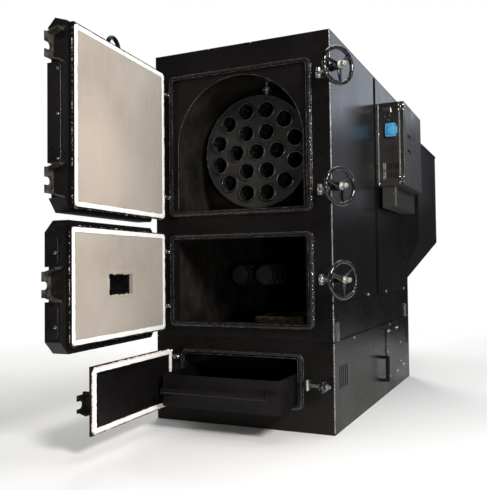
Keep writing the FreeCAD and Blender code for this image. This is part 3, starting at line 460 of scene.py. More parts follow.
def refractoryBoard():
    # cast board: beige with grey clouds, trowel streaks and small dents
    finish = Finish("refractoryBoard", Specular_IOR_Level=0.25)
    cloud = finish.between(finish.noise(2.6, 4.0, 0.55), 0.34, 0.68)
    colour = finish.blend(cloud, (0.335, 0.292, 0.245), (0.425, 0.375, 0.325))
    side, height = finish.axis("Y"), finish.axis("Z")
    away = (side + 1.75) * (side + 1.75) * 1.4 + (height - 1.38) * (height - 1.38) * 0.8
    colour = finish.blend(finish.between(away, 0.0, 0.12, 0.50, 0.0), colour, (0.56, 0.435, 0.365))
    colour = finish.blend(finish.between(side, -1.55, -1.12, 0.0, 0.45), colour, (0.335, 0.318, 0.288))
    streak = finish.between(finish.noise(7.0, 3.0, 0.6, (4.0, 4.0, 0.9)), 0.48, 0.70, 0.0, 0.35)
    colour = finish.blend(streak, colour, (0.40, 0.375, 0.345))
    dents = finish.between(finish.cells(22.0) + finish.noise(30.0, 2.0) * 0.10, 0.075, 0.13, 1.0, 0.0)
    # dents are darkened in colour: painted shade in the pits
    colour = finish.blend(dents * 0.55, colour, (0.20, 0.18, 0.155))
    grain = finish.noise(330.0, 3.0, 0.6)
    colour = finish.blend(finish.between(grain, 0.55, 0.75, 0.0, 0.25), colour, (0.28, 0.255, 0.225))
    height = grain * 0.5 + finish.noise(12.0, 3.0) * 1.2 - dents * 1.4
    return finish.feed(Base_Color=colour, Roughness=finish.between(grain, 0.2, 0.8, 0.62, 0.82),
                       Normal=finish.bump(height, 0.28, 0.003))


def ductSheet():
    # textured grey coat on the cable duct
    finish = Finish("ductSheet", Specular_IOR_Level=0.4)
    speck = finish.between(finish.noise(420.0, 3.0, 0.7), 0.42, 0.62)
    colour = finish.blend(speck, (0.004, 0.0037, 0.0034), (0.050, 0.046, 0.039))
    return finish.feed(Base_Color=colour, Roughness=finish.between(speck, 0.0, 1.0, 0.5, 0.3),
                       Normal=finish.bump(speck, 0.25, 0.001))


def cabinetPaint():
    # hammered coat of the control cabinet: fine light speckle on dark grey
    finish = Finish("cabinetPaint", Specular_IOR_Level=0.45)
    speck = finish.between(finish.noise(480.9, 3.0, 0.7), 0.50, 0.66)
    cloud = finish.between(finish.noise(5.0, 3.0), 0.35, 0.65)
    colour = finish.blend(cloud, (0.007, 0.0064, 0.006), (0.014, 0.0128, 0.0118))
    low = finish.between(finish.axis("Z"), 1.42, 1.80, 0.75, 0.20)
    colour = finish.blend(speck * low, colour, (0.115, 0.104, 0.088))
    return finish.feed(Base_Color=colour, Roughness=finish.between(cloud, 0.0, 1.0, 0.26, 0.40),
                       Normal=finish.bump(finish.noise(517.7, 2.0), 0.16, 0.002))


finishes = {name: paint(name) for name in paintLook}
finishes.update({name: plainFinish(name) for name in plainLook})
for maker in (weldedBlack, wornAndHighlightEdge, primedSteel, zincPlate, ropeFibre, refractoryBoard, ductSheet, cabinetPaint):
    finishes[maker.__name__] = maker()
for name, tone, rough in (("hookSteel", (0.16, 0.155, 0.15), (0.28, 0.5)),
                          ("chromePlate", (0.80, 0.80, 0.79), (0.08, 0.2)),
                          ("palePlate", (0.92, 0.90, 0.80), (0.30, 0.45))):
    finishes[name] = zincPlate(name, tone, rough)

nodeFinish = {
    "frontBlack": ("front_plate", "hinge_ears", "upper_door_casing", "middle_door_casing", "ash_door_plate",
                   "ash_door_baffle", "ash_drawer_pan", "ash_drawer_handle"),
    "weldedBlack": ("door_frames",),
    "baseBlack": ("base_front_plate", "base_side_right", "base_side_left", "base_floor", "base_hatch",
                  "hatch_handle", "skirt_panels"),
    "coverBlack": ("upper_door_cover", "middle_door_cover", "upper_door_eye"),
    "glossBlack": ("side_panels_right", "side_panels_left", "seam_channels", "roof_panels", "back_panels",
                   "hopper_bin", "hopper_lid", "hopper_cone", "feed_trough", "flue_collar", "water_stubs",
                   "middle_door_peephole"),
    "cabinetPaint": ("control_cabinet",),
    "ductSheet": ("cabinet_duct",),
    "mouldedBlue": ("mains_inlet",),
    "primedSteel": ("smoke_box", "furnace_shell", "air_pipes", "ash_chamber", "tube_drum"),
    "drumFace": ("tube_sheets",),
    "tubeEnds": ("fire_tubes",),
    "firedClay": ("burner_trough",),
    "refractoryBoard": ("upper_door_board", "middle_door_board"),
    "ropeFibre": ("upper_door_gasket", "middle_door_gasket", "ash_door_gasket"),
    "wheelBlack": ("top_handwheel", "centre_handwheel", "fire_handwheel", "ash_knob"),
    "zincPlate": ("hinge_pins", "bolt_forks", "top_bolt", "centre_bolt", "fire_bolt", "ash_bolt",
                  "sensor_nipple", "tie_lugs"),
}
for name, members in nodeFinish.items():
    for member in members:
        mesh = nodes[member].data
        mesh.materials.clear()
        mesh.materials.append(finishes[name])
unpainted = set(nodes) - {member for members in nodeFinish.values() for member in members}
print("finishes made:", len(finishes), "unpainted:", sorted(unpainted))


# rope gaskets

ropeSettings = {
    "upper_door": {"joint": "upper_door_hinge", "halfX": 0.430, "low": 1.143, "high": 1.967, "width": 0.025,
                   "depth": 0.014, "face": -1.017, "corner": 0.012},
    "middle_door": {"joint": "middle_door_hinge", "halfX": 0.430, "low": 0.523, "high": 1.054, "width": 0.025,
                    "depth": 0.014, "face": -1.017, "corner": 0.012},
    "ash_door": {"joint": "ash_door_hinge", "halfX": 0.365, "low": 0.115, "high": 0.410, "width": 0.022,
                 "depth": 0.012, "face": -1.017, "corner": 0.010},
}
yarnSettings = {"step": 0.0042, "pitch": 0.017, "lift": 0.0011, "wander": 0.0012, "squareness": 0.42, "seed": 11}
fleeceSettings = {"root": 0.003, "reach": (0.0016, 0.0042), "lift": 0.0009, "thick": 0.0011, "up": 0.0024}


def rope(door):
    # rounded-box section carried round the door; two sets of crossed yarns lift it by up to 0.9 mm
    look = ropeSettings[door]
    halfZ, middleZ = (look["high"] - look["low"]) / 2, (look["high"] + look["low"]) / 2
    half = look["width"] / 2
    corner = max(look["corner"] - half, 0.0015)
    yarns, fleece = yarnSettings, fleeceSettings
    position, normal, s = roundRectangle(look["halfX"] - half, halfZ - half, corner, yarns["step"])
    path, outward = onFace(position, normal, look["face"] - look["depth"] / 2, middleZ)
    around = np.arange(28) * 2 * math.pi / 28
    u = np.sign(np.cos(around)) * np.abs(np.cos(around)) ** yarns["squareness"]
    v = np.sign(np.sin(around)) * np.abs(np.sin(around)) ** yarns["squareness"]
    turns = round(s[-1] / yarns["pitch"])
    phase = s[:, None] / s[-1] * turns * 2 * math.pi
    yarn = np.abs(np.sin(phase + 2 * around)) * np.abs(np.sin(phase - 2 * around))
    rng = np.random.default_rng(yarns["seed"])
    slow = np.interp(s, np.linspace(0, s[-1], 150), rng.normal(0, yarns["wander"], 150))
    grow = yarns["lift"] * (yarn - 0.8) + slow[:, None] * 0.6
    section = np.stack([u * (half + grow), v * (look["depth"] / 2 - 0.0004 + np.minimum(grow, 0.0002))], -1)
    mesh = loopSweep(path, outward, depthAxis, section)
    makePiece(door + "_rope", [mesh], door, "ropeFibre", look["joint"],
              replaces=(door + "_gasket",))

    # ragged glass fleece under the rope: a thin lip whose reach follows three summed noises
    count = len(s)
    reach = np.abs(rng.normal(0, 1, count))
    reach = 0.55 * reach + 0.45 * np.repeat(np.abs(rng.normal(0, 1, count // 4 + 1)), 4)[:count]
    reach = fleece["reach"][0] + fleece["reach"][1] * np.clip(reach, 0, 1.8)
    lift = rng.normal(0, fleece["lift"], count)
    thick, root = fleece["thick"], np.full(count, half - fleece["root"])
    base = -look["depth"] / 2 + fleece["up"]
    lip = np.stack([np.column_stack([root, np.full(count, base + thick)]),
                    np.column_stack([half + reach, base + lift + thick * 0.5]),
                    np.column_stack([half + reach, base + lift - thick * 0.5]),
                    np.column_stack([root, np.full(count, base - thick)])], 1)
    makePiece(door + "_fleece", [loopSweep(path, outward, depthAxis, lip)], door, "fringeFibre",
              look["joint"], smooth=False)


for door in ropeSettings:
    rope(door)
print("ropes laid")


# weld beads

weldSettings = {
    "frames": ((0.425, 1.158, 1.960), (0.425, 0.538, 1.047), (0.360, 0.120, 0.405)),
    "corner": 0.030, "plate": -0.990, "bead": 0.0034, "pitch": 0.006,
    "rightGlintPitch": 0.0135, "glintTackRadius": 0.0038,
}


def frameWelds():
    # bead of overlapping scales: radius = bead * (0.8 + 0.35 |sin|) with slow seeded wander, heavier at the right
    look = weldSettings
    rng = np.random.default_rng(5)
    surfaces = []
    for halfX, low, high in look["frames"]:
        position, normal, s = roundRectangle(halfX, (high - low) / 2, look["corner"], 0.0035)
        scale = 0.8 + 0.35 * np.abs(np.sin(math.pi * s / look["pitch"]))
        wander = np.interp(s, np.linspace(0, s[-1], 160), rng.uniform(0.55, 1.15, 160))
        right = np.clip((position[:, 0] - halfX + 0.02) / 0.02, 0, 1)
        radius = look["bead"] * scale * wander * (1 + 0.35 * right)
        path, outward = onFace(position, normal, look["plate"], (low + high) / 2)
        surfaces.append(loopSweep(path, outward, depthAxis, radius[:, None, None] * circle(9)))
    makePiece("frame_weld_beads", surfaces, "boiler", "weldedBlack")

    # bright chrome tack scales up the outer right edge of the two large frames, standing in for the glints on the
    # weld bead: painted highlight
    glintTacks = []
    for halfX, low, high in look["frames"][:2]:
        z = np.arange(low + 0.05, high - 0.04, look["rightGlintPitch"])
        z = z + rng.uniform(-0.008, 0.008, len(z))
        depth = rng.uniform(-0.0050, 0.0050, len(z))
        origins = np.column_stack([np.full(len(z), halfX + 0.0005), look["plate"] - 0.018 + depth, z])
        r = look["glintTackRadius"]
        dome = spin([(r * math.cos(a), r * 0.55 * math.sin(a)) for a in np.linspace(0, 1.45, 5)], 10)
        glintTacks.append(placed(dome, origins, *rightSide))
    makePiece("frame_weld_glints", glintTacks, "boiler", "chromePlate")


def ringBeads(name, centres, radius, bead, y, finish, seed):
    # weld ring round each tube: a torus whose tube radius has scales and a seeded wander
    rng = np.random.default_rng(seed)
    surfaces = []
    angle = np.arange(56) * 2 * math.pi / 56
    for x, z in centres:
        wander = np.interp(angle, np.linspace(0, 2 * math.pi, 12), np.append(rng.uniform(0.7, 1.25, 11), 1.0))
        size = bead * (0.8 + 0.3 * np.abs(np.sin(angle * 13))) * wander
        outward = np.column_stack([np.cos(angle), np.zeros(56), np.sin(angle)])
        path = radius * outward + [x, y, z]
        surfaces.append(loopSweep(path, outward, -depthAxis, size[:, None, None] * circle(8)))
    makePiece(name, surfaces, "boiler", finish)


drumSettings = {"centreZ": 1.540, "face": -0.733, "outerRing": 0.250, "drumRadius": 0.3325, "ligament": 0.0278}
ringPitch = 2 * drumSettings["outerRing"] * math.sin(math.radians(15))
tubeRadius = (ringPitch - drumSettings["ligament"]) / 2
tubePlaces = [(0.0, drumSettings["centreZ"])]
for count, ring, begin in ((6, ringPitch, 0), (12, drumSettings["outerRing"], 15)):
    for i in range(count):
        a = math.radians(begin + i * 360 / count)
        tubePlaces.append((ring * math.cos(a), drumSettings["centreZ"] + ring * math.sin(a)))

frameWelds()
ringBeads("tube_weld_rings", tubePlaces, tubeRadius - 0.0015, 0.0058, drumSettings["face"] - 0.0065,
          "tubeEnds", 3)
# the foot rings take the same lighter bead black, partly painted highlight
ringBeads("tube_foot_rings", tubePlaces, tubeRadius + 0.0022, 0.0030, drumSettings["face"] - 0.0005,
          "highlightBeadBlack", 6)
ringBeads("drum_weld_ring", [(0.0, drumSettings["centreZ"])], drumSettings["drumRadius"] - 0.0015, 0.0035,
          drumSettings["face"], "weldedBlack", 4)
print("welds laid")


# handwheels and knob

wheelSettings = {"radius": 0.101, "rim": 0.0112, "plane": 0.155, "hub": 0.0225, "spokes": 3, "firstSpoke": 40.0,
                 "spokeRoot": 0.0125, "spokeTip": 0.0092, "spokeStart": 0.010, "grips": 18}
boltSettings = {"top": {"x": 0.481, "z": 1.862}, "centre": {"x": 0.481, "z": 1.258},
                "fire": {"x": 0.481, "z": 0.7965}, "ash": {"x": 0.396, "z": 0.2555, "knobPlane": 0.085},
                "pivotY": -1.030, "hookFace": -1.126}


def handwheel(name):
    # rim: ring whose section radius swells at each grip; spokes: ellipses that taper and dish towards the hub
    look, bolt = wheelSettings, boltSettings[name]
    centre = np.array([bolt["x"], boltSettings["pivotY"] - look["plane"], bolt["z"]])
    angle = np.arange(144) * 2 * math.pi / 144
    around = np.arange(16) * 2 * math.pi / 16
    outward = np.column_stack([np.cos(angle), np.zeros(144), np.sin(angle)])
    size = look["rim"] * (0.955 + 0.045 * np.cos(look["grips"] * angle))
    section = size[:, None, None] * circle(16) * [1.0, 1.02]
    path = (look["radius"] - look["rim"]) * outward + centre
    surfaces = [loopSweep(path, outward, depthAxis, section)]
    t = np.linspace(0, 1, 20)
    for i in range(look["spokes"]):
        a = math.radians(look["firstSpoke"] + i * 360 / look["spokes"])
        out = np.array([math.cos(a), 0.0, math.sin(a)])
        side = np.array([-math.sin(a), 0.0, math.cos(a)])
        along = look["spokeStart"] + t * (look["radius"] - look["rim"] - look["spokeStart"])
        wide = (look["spokeRoot"] + (look["spokeTip"] - look["spokeRoot"]) * t ** 0.7
                + 0.004 * (1 - t) ** 4)
        deep = wide * 0.62
        dish = -0.006 * (1 - t) ** 2
        ringPoints = (centre + along[:, None, None] * out
                      + (wide[:, None] * np.cos(around))[..., None] * side
                      + (deep[:, None] * np.sin(around) + dish[:, None])[..., None] * depthAxis)
        surfaces.append(ringStack(ringPoints))
    backEnd = boltSettings["pivotY"] - look["plane"] - boltSettings["hookFace"] + 0.002
    r = look["hub"]
    hub = spin([(r * 0.82, backEnd), (r * 0.86, backEnd + 0.002), (r * 0.86, -0.018), (r * 0.98, -0.012),
                (r * 1.0, 0.004), (r * 0.96, 0.011), (r * 0.80, 0.0148)], 40)
    surfaces.append(placed(hub, [centre], *front))
    makePiece(name + "_wheel_rim", surfaces, name + "_handwheel", "wheelBlack",
              name + "_bolt_swing", replaces=(name + "_handwheel",))

    # plated washer, long pale nut and rounded bolt end
    washer = spin([(0.0185, 0.0145), (0.0190, 0.0152), (0.0190, 0.0168), (0.0185, 0.0175)], 32)
    nut = spin([(0.0118, 0.0170), (0.0126, 0.0182), (0.0126, 0.0470), (0.0116, 0.0490), (0.0085, 0.0494)], 36)
    stud = spin([(0.0080, 0.0490), (0.0080, 0.0535), (0.0070, 0.0552), (0.0045, 0.0556)], 24)
    plated = [placed(part, [centre], *front) for part in (washer, nut, stud)]
    makePiece(name + "_wheel_nut", plated, name + "_handwheel", "palePlate", name + "_bolt_swing")

    # round eye about the swing pin, with a dome over each end
    pivot = [bolt["x"], boltSettings["pivotY"], bolt["z"]]
    makePiece(name + "_bolt_eye", [placed(pinBarrel(0.0175, 0.0165), [pivot], *topSide)], name + "_bolt",
              "chromePlate", name + "_bolt_swing")


def pinBarrel(radius, halfHeight):
    # barrel and two domes: r = radius * sqrt(1 - 0.35 t^2) over the barrel, then two rounded ends
    t = np.linspace(-1, 1, 11)
    barrel = [(radius * math.sqrt(1 - 0.35 * v * v), halfHeight * 0.72 * v) for v in t]
    low = [(radius * r, -halfHeight * h) for r, h in ((0.30, 1.75), (0.58, 1.62), (0.66, 1.2), (0.66, 0.8))]
    high = [(r, -h) for r, h in reversed(low)]
    return spin(low + barrel + high, 32)


hingeSettings = {"upper": (-0.455, (1.865, 1.268)), "middle": (-0.455, (0.957, 0.647)),
                 "ash": (-0.405, (0.362, 0.163)), "y": -1.045, "domes": 0.039, "stubShift": 0.013, "plate": -0.990}


def hingeDomes():
    # domed pin ends over and under each hinge, with a bright collar between the ears
    dome = spin([(0.0125, -0.004), (0.0145, -0.002), (0.0145, 0.003), (0.0115, 0.0075), (0.0060, 0.0098)], 28)
    collar = spin([(0.0135, -0.018), (0.0158, -0.015), (0.0162, 0.0), (0.0158, 0.015), (0.0135, 0.018)], 28)
    stub = spin([(0.0120, -0.001), (0.0138, 0.002), (0.0138, 0.011), (0.0112, 0.0125), (0.0112, 0.0155),
                 (0.0142, 0.0170), (0.0142, 0.0250), (0.0105, 0.0275)], 28)
    surfaces = []
    for name in ("upper", "middle", "ash"):
        x, heights = hingeSettings[name]
        ends, middles, feet = ([[x, hingeSettings["y"], z + shift * hingeSettings["domes"]] for z in heights]
                               for shift in (1, 0, -1))
        stubs = [[x + hingeSettings["stubShift"], hingeSettings["plate"], z] for z in heights]
        surfaces += [placed(dome, ends, *topSide), placed(dome, feet, *underSide),
                     placed(collar, middles, *topSide), placed(stub, stubs, *front)]
    makePiece("hinge_pin_domes", surfaces, "boiler", "chromePlate")


def starKnob():
    # lathe profile whose radius swells into six lobes, most at mid height
    bolt = boltSettings["ash"]
    centre = np.array([bolt["x"], boltSettings["pivotY"] - bolt["knobPlane"], bolt["z"]])
    angle = np.arange(96) * 2 * math.pi / 96
    profile = np.array([(0.020, 0.000), (0.0235, 0.0015), (0.0245, 0.005), (0.0250, 0.013), (0.0245, 0.021),
                        (0.0225, 0.0245), (0.0170, 0.0258)])
    lobe = np.array([0.10, 0.28, 0.36, 0.38, 0.36, 0.26, 0.08])
    radius = profile[:, :1] * (1 + lobe[:, None] * (0.5 + 0.5 * np.cos(6 * angle)) ** 0.8)
    height = np.broadcast_to(profile[:, 1:], radius.shape)
    knob = ringStack(np.stack([radius * np.cos(angle), radius * np.sin(angle), height], -1))
    makePiece("ash_star_knob", [placed(knob, [centre], *front)], "ash_knob", "wheelBlack",
              "ash_bolt_swing", replaces=("ash_knob",))
    nut = spin([(0.0130, 0.0256), (0.0136, 0.0265), (0.0136, 0.0360), (0.0124, 0.0372)], 36, sixSided)
    stud = spin([(0.0085, 0.0370), (0.0085, 0.0415), (0.0078, 0.0425), (0.0050, 0.0428)], 24)
    makePiece("ash_knob_nut", [placed(part, [centre], *front) for part in (nut, stud)], "ash_knob",
              "zincPlate", "ash_bolt_swing")


for name in ("top", "centre", "fire"):
    handwheel(name)
starKnob()
hingeDomes()
print("wheels made")


# screws, strips and edge trims

def screwHead(radius, height):
    # low dome: radius * cos, height * sin of one angle, on a short skirt
    angle = np.linspace(0.0, 1.42, 6)
    return spin([(radius, 0.0)] + [(radius * math.cos(a), height * (0.25 + 0.75 * math.sin(a))) for a in angle], 16)


def hexHead(radius, height):
    washer = spin([(radius * 1.45, 0.0), (radius * 1.5, height * 0.12), (radius * 1.45, height * 0.24)], 20)
    head = spin([(radius, height * 0.24), (radius, height * 0.86), (radius * 0.88, height)], 24, sixSided)
    shift = np.array([len(washer[0])])
    return (np.concatenate([washer[0], head[0]]), np.concatenate([washer[1], head[1] + shift]),
            np.concatenate([washer[2], head[2] + shift]))


stripSettings = {
    "upper_door": {"joint": "upper_door_hinge", "edge": 0.475, "low": 1.330, "high": 1.778,
                   "screws": (1.755, 1.553, 1.352)},
    "middle_door": {"joint": "middle_door_hinge", "edge": 0.475, "low": 0.885, "high": 1.010,
                    "screws": (0.937,)},
    "middle_door_low": {"joint": "middle_door_hinge", "edge": 0.475, "low": 0.560, "high": 0.705,
                        "screws": (0.610,)},
    "faceY": (-1.130, -1.061), "thick": 0.0016, "line": 0.0012,
}


def edgeStrip(name):
    # thin rounded plate on the free edge of a cover, its bright inner edge, and its screws
    look, (y0, y1) = stripSettings[name], stripSettings["faceY"]
    door = "upper_door" if name.startswith("upper") else "middle_door"
    plate = softPlate((y1 - y0) / 2, (look["high"] - look["low"]) / 2, 0.016, stripSettings["thick"], 0.0010)
    middle = [look["edge"], (y0 + y1) / 2, (look["high"] + look["low"]) / 2]
    makePiece(name + "_edge_strip", [placed(plate, [middle], *rightSide)], door, "coverBlack",
              look["joint"])
    x = look["edge"] + stripSettings["thick"] * 0.7
    line = [bar((x, y1, look["low"] + 0.012), (x, y1, look["high"] - 0.012), stripSettings["line"]),
            bar((x, y1 - 0.012, look["low"]), (x, y1, look["low"] + 0.012), stripSettings["line"]),
            bar((x, y1 - 0.012, look["high"]), (x, y1, look["high"] - 0.012), stripSettings["line"])]
    makePiece(name + "_edge_line", line, door, "hookSteel", look["joint"])
    origins = [[look["edge"] + stripSettings["thick"] * 0.8, -1.0755, z] for z in look["screws"]]
    makePiece(name + "_edge_screws", [placed(screwHead(0.0080, 0.0045), origins, *rightSide)], door,
              "chromePlate", look["joint"])


for name in ("upper_door", "middle_door", "middle_door_low"):
    edgeStrip(name)

trimSettings = {"radius": 0.0032, "cornerGlint": 0.0038, "corner": 0.530, "frontY": -0.990, "rearY": 0.990}


def edgeTrims():
    # rounded paint-filled edges: round bars let into each folded corner by most of their radius
    r, x, y = trimSettings["radius"], trimSettings["corner"], trimSettings["frontY"]
    inset = r * 0.72
    bars = []
    for s in (-1, 1):
        bars.append(bar((s * (x - inset), y + inset, 0.476), (s * (x - inset), y + inset, 2.0985), r))
        bars.append(bar((s * (x - inset), y + inset, 0.002), (s * (x - inset), y + inset, 0.470), r))
        bars.append(bar((s * (x - inset), -trimSettings["rearY"] + 0.012, 2.1 - inset),
                        (s * (x - inset), trimSettings["rearY"] - 0.003, 2.1 - inset), r))
    bars.append(bar((-x + 0.004, y + inset, 0.472 - inset), (x - 0.004, y + inset, 0.472 - inset), r))
    makePiece("body_edge_trims", bars, "boiler", "frontBlack")

    # painted highlight: a bright steel-coloured strip up the whole height of the front right corner
    cornerGlint = trimSettings["cornerGlint"]
    highlightBars = [bar((x - 0.0022, y + 0.0022, low), (x - 0.0022, y + 0.0022, high), cornerGlint)
            for low, high in ((0.680, 2.096), (0.476, 0.668), (0.010, 0.466))]
    makePiece("corner_highlight_strip", highlightBars, "boiler", "wornAndHighlightEdge")


edgeTrims()

lineSettings = {"bead": 0.0016, "frameY": -1.0158, "archRadius": 0.380, "archZ": 1.548, "floorZ": 1.185,
                "archY": -0.990}


def openingLines():
    # rounded paint edges: a thin bead round each frame's inner mouth and round the arch, in a lighter black that is
    # partly painted highlight along the edges
    look = lineSettings
    surfaces = []
    section = look["bead"] * circle(6)
    for halfX, low, high in weldSettings["frames"]:
        for inset, corner in ((0.0006, 0.030), (0.0195, 0.012)):
            position, normal, _ = roundRectangle(halfX - inset, (high - low) / 2 - inset, corner, 0.008)
            path, outward = onFace(position, normal, look["frameY"], (low + high) / 2)
            surfaces.append(loopSweep(path, outward, depthAxis, section))
    t = np.linspace(0, math.pi, 90)
    arch = np.column_stack([look["archRadius"] * np.cos(t), np.full(90, look["archY"]),
                            look["archZ"] + look["archRadius"] * np.sin(t)])
    leg = np.linspace(look["floorZ"] + 0.004, look["archZ"], 30)[:-1]
    right = np.column_stack([np.full(29, look["archRadius"]), np.full(29, look["archY"]), leg])
    left = right[::-1] * [-1, 1, 1]
    line = np.concatenate([right, arch, left])
    ring = 1.3 * section
    away = np.concatenate([np.tile([1.0, 0, 0], (29, 1)), np.column_stack([np.cos(t), np.zeros(90), np.sin(t)]),
                           np.tile([-1.0, 0, 0], (29, 1))])
    surfaces.append(ringStack(line[:, None] + ring[:, :1] * away[:, None] + ring[:, 1:] * depthAxis))
    makePiece("opening_edge_beads", surfaces, "boiler", "highlightBeadBlack")


openingLines()

screwSettings = {
    "panelBolts": {"y": (-0.263, 0.233, 0.835), "z": 0.690, "x": 0.530, "radius": 0.0075, "height": 0.007},
    "seamBolts": {"y": (-0.60, 0.32), "z": 0.458, "x": 0.530},
    "hatch": {"y": 0.19, "z": (0.100, 0.430), "x": 0.534, "radius": 0.0062, "height": 0.007,
              "along": (0.07, 0.33), "rearTab": (0.55, 0.02), "tabIn": 0.010, "apart": 0.013,
              "loose": ((0.45, 0.300), (0.45, 0.165), (0.012, 0.285))},   # bolts with no tab: y from the edge, z
}


def panelScrews():
    look, seam = screwSettings["panelBolts"], screwSettings["seamBolts"]
    head = hexHead(look["radius"], look["height"])
    places = [[look["x"] - 0.001, y, look["z"]] for y in look["y"]]
    places += [[seam["x"] - 0.0005, y, seam["z"]] for y in seam["y"]]
    mirrored = [[-x, y, z] for x, y, z in places]
    fit("panel_bolts", "zincPlate", "zinc", (head, places, rightSide), (head, mirrored, leftSide))


def hatchClips():
    # bolt heads in pairs along the hatch edges, each pair on a small bright tab
    look = screwSettings["hatch"]
    start, (low, high), face = look["y"], look["z"], look["x"] - 0.0005
    pairs = [(start + y, z) for z in (high, low) for y in look["along"]]
    pairs.append((start + look["rearTab"][0], low + look["rearTab"][1]))
    tabs = [[face, y, z - look["tabIn"] if z > 0.3 else z + look["tabIn"]] for y, z in pairs]
    heads = [[look["x"] + 0.002, y + side * look["apart"], z] for _, y, z in tabs for side in (-1, 1)]
    heads += [[face, start + y, z] for y, z in look["loose"]]
    fit("hatch_tabs", "zincPlate", "zinc", (softPlate(0.024, 0.012, 0.005, 0.003), tabs, rightSide))
    fit("hatch_bolts", "zincPlate", "zinc", (hexHead(look["radius"], look["height"]), heads, rightSide))


panelScrews()
hatchClips()
print("screws set")


# control cabinet

cabinetSettings = {
    "x": (0.530, 0.708), "z": (1.385, 1.935), "face": 0.045,
    "strips": (0.007, 0.032),                      # folded edges, in from each side
    "bracket": 0.022, "bracketEnds": (0.038, 0.040), "bracketScrews": (0.014, 0.016),
    "sideScrews": (0.030, 0.205), "lowScrew": 0.020,
    "rows": (0.128, 0.070),                        # heights of the two louvre rows
    "louvres": {"start": 0.062, "pitch": 0.0135, "count": 6}, "lips": {"start": 0.040, "apart": 0.011},
    "switch": (0.088, 0.052), "lamps": ((0.050, 0.093), (0.083, 0.088)),        # in from the side, down from the top
    "glands": ((0.074, 0.118), (0.047, 0.045), (0.066, 0.045)),
    "slots": ((0.20, 1.728), (0.20, 1.628)), "slotLip": 0.0115,
}


def cabinetDetail():
    look = cabinetSettings
    (x0, x1), (z0, z1), face = look["x"], look["z"], look["face"]

    # folded light edges down both sides of the front end
    strip = softPlate(0.0045, (z1 - z0) / 2 - 0.004, 0.002, 0.0035, 0.001)
    strips = [[x, face + 0.0005, (z0 + z1) / 2] for x in (x0 + look["strips"][0], x1 - look["strips"][1])]
    fit("cabinet_edge_strips", "wornAndHighlightEdge", "duct_grey", (strip, strips, front))

    # corner brackets with four screws each
    brackets = [[x1 - look["bracket"], face - 0.0005, z]
                for z in (z1 - look["bracketEnds"][0], z0 + look["bracketEnds"][1])]
    fit("cabinet_brackets", "cabinetPaint", "black_enamel",
        (softPlate(0.020, 0.027, 0.004, 0.003, 0.001), brackets, front))
    acrossX, acrossZ = look["bracketScrews"]
    heads = [[x + u * acrossX, face - 0.003, z + v * acrossZ]
             for x, _, z in brackets for u in (-1, 1) for v in (-1, 1)]
    heads += [[x0 + 0.008, face - 0.0025, z]
              for z in (*(z1 - down for down in look["sideScrews"]), z0 + look["lowScrew"])]
    pins = [[x - 0.002, face - 0.004, z] for x, _, z in brackets]
    fit("cabinet_screws", "chromePlate", "zinc", (screwHead(0.0068, 0.0040), heads, front),
        (softPlate(0.0035, 0.020, 0.003, 0.004, 0.001), pins, front))

    # two rows of louvres: slots drawn as near-black plates, painted shade inside the openings, with a raised,
    # rounded lip
    heights = [z0 + up for up in look["rows"]]
    louvres, lips = look["louvres"], look["lips"]
    rows = [[x0 + louvres["start"] + i * louvres["pitch"], face - 0.0001, z]
            for i in range(louvres["count"]) for z in heights]
    fit("cabinet_louvre_slots", "paintedShadeGap", "black_enamel",
        (softPlate(0.0030, 0.022, 0.0028, 0.0008, 0.0004, 0.004), rows, front))
    lipRows = [[x0 + lips["start"] + u, face - 0.0003, z] for u in (0.0, lips["apart"]) for z in heights]
    fit("cabinet_vent_lips", "wornAndHighlightEdge", "duct_grey",
        (softPlate(0.0042, 0.026, 0.004, 0.0030, 0.0012, 0.004), lipRows, front))

    # switch, lamps and glands at the top
    def atTop(*places):
        return [[x0 + across, face - 0.0003, z1 - down] for across, down in places]
    lamp = spin([(0.0085, 0.0), (0.0088, 0.003), (0.0075, 0.0048), (0.0070, 0.0065), (0.0040, 0.0085)], 24)
    gland = spin([(0.011, 0.0), (0.011, 0.004), (0.0085, 0.0045), (0.0085, 0.012), (0.0070, 0.014)], 24)
    fit("cabinet_switch", "chromePlate", "zinc",
        (softPlate(0.008, 0.021, 0.004, 0.007, 0.002), atTop(look["switch"]), front))
    fit("cabinet_lamps", "hookSteel", "zinc", (lamp, atTop(*look["lamps"]), front),
        (gland, atTop(*look["glands"]), front))

    # raised ribs and rounded shoulders on the moulded inlet
    low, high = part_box("mains_inlet")
    middle = [(low[0] + high[0]) / 2, low[1] + 0.0005, (low[2] + high[2]) / 2]
    fit("inlet_cap", "mouldedBlue", "blue_plastic", (softPlate(0.024, 0.034, 0.008, 0.006, 0.0035), [middle], front),
        (softPlate(0.041, 0.028, 0.006, 0.012, 0.002), [[middle[0], low[1] + 0.024, middle[2]]], front))

    # long recessed handles on the outer side: near-black plates, painted shade in the recesses
    dark = [[x1 - 0.0001, y, z] for y, z in look["slots"]]
    fit("cabinet_side_slots", "paintedShadeGap", "black_enamel",
        (softPlate(0.055, 0.0085, 0.003, 0.0012, 0.0005), dark, rightSide))
    ridges = [[x1 - 0.0001, y, z - look["slotLip"]] for _, y, z in dark]
    fit("cabinet_slot_lips", "cabinetPaint", "black_enamel",
        (softPlate(0.058, 0.0022, 0.002, 0.0009, 0.0004), ridges, rightSide))

    # duct corner and its screw
    low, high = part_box("cabinet_duct")
    corner = softPlate(0.0035, (high[2] - low[2]) / 2 - 0.002, 0.002, 0.003, 0.001)
    fit("duct_corner", "zincPlate", "zinc",
        (corner, [[high[0] - 0.0045, low[1] + 0.0003, (low[2] + high[2]) / 2]], front))
    fit("duct_screw", "chromePlate", "zinc",
        (screwHead(0.005, 0.003), [[high[0] - 0.016, low[1] + 0.0003, high[2] - 0.050]], front))


cabinetDetail()


# hopper, peephole, burner

hopperSettings = {"bolt": (1.045, 1.742), "bracket": (1.062, 1.672)}       # y and z on the bin's right side
sensorPlace = (0.095, -0.800, 1.8735)


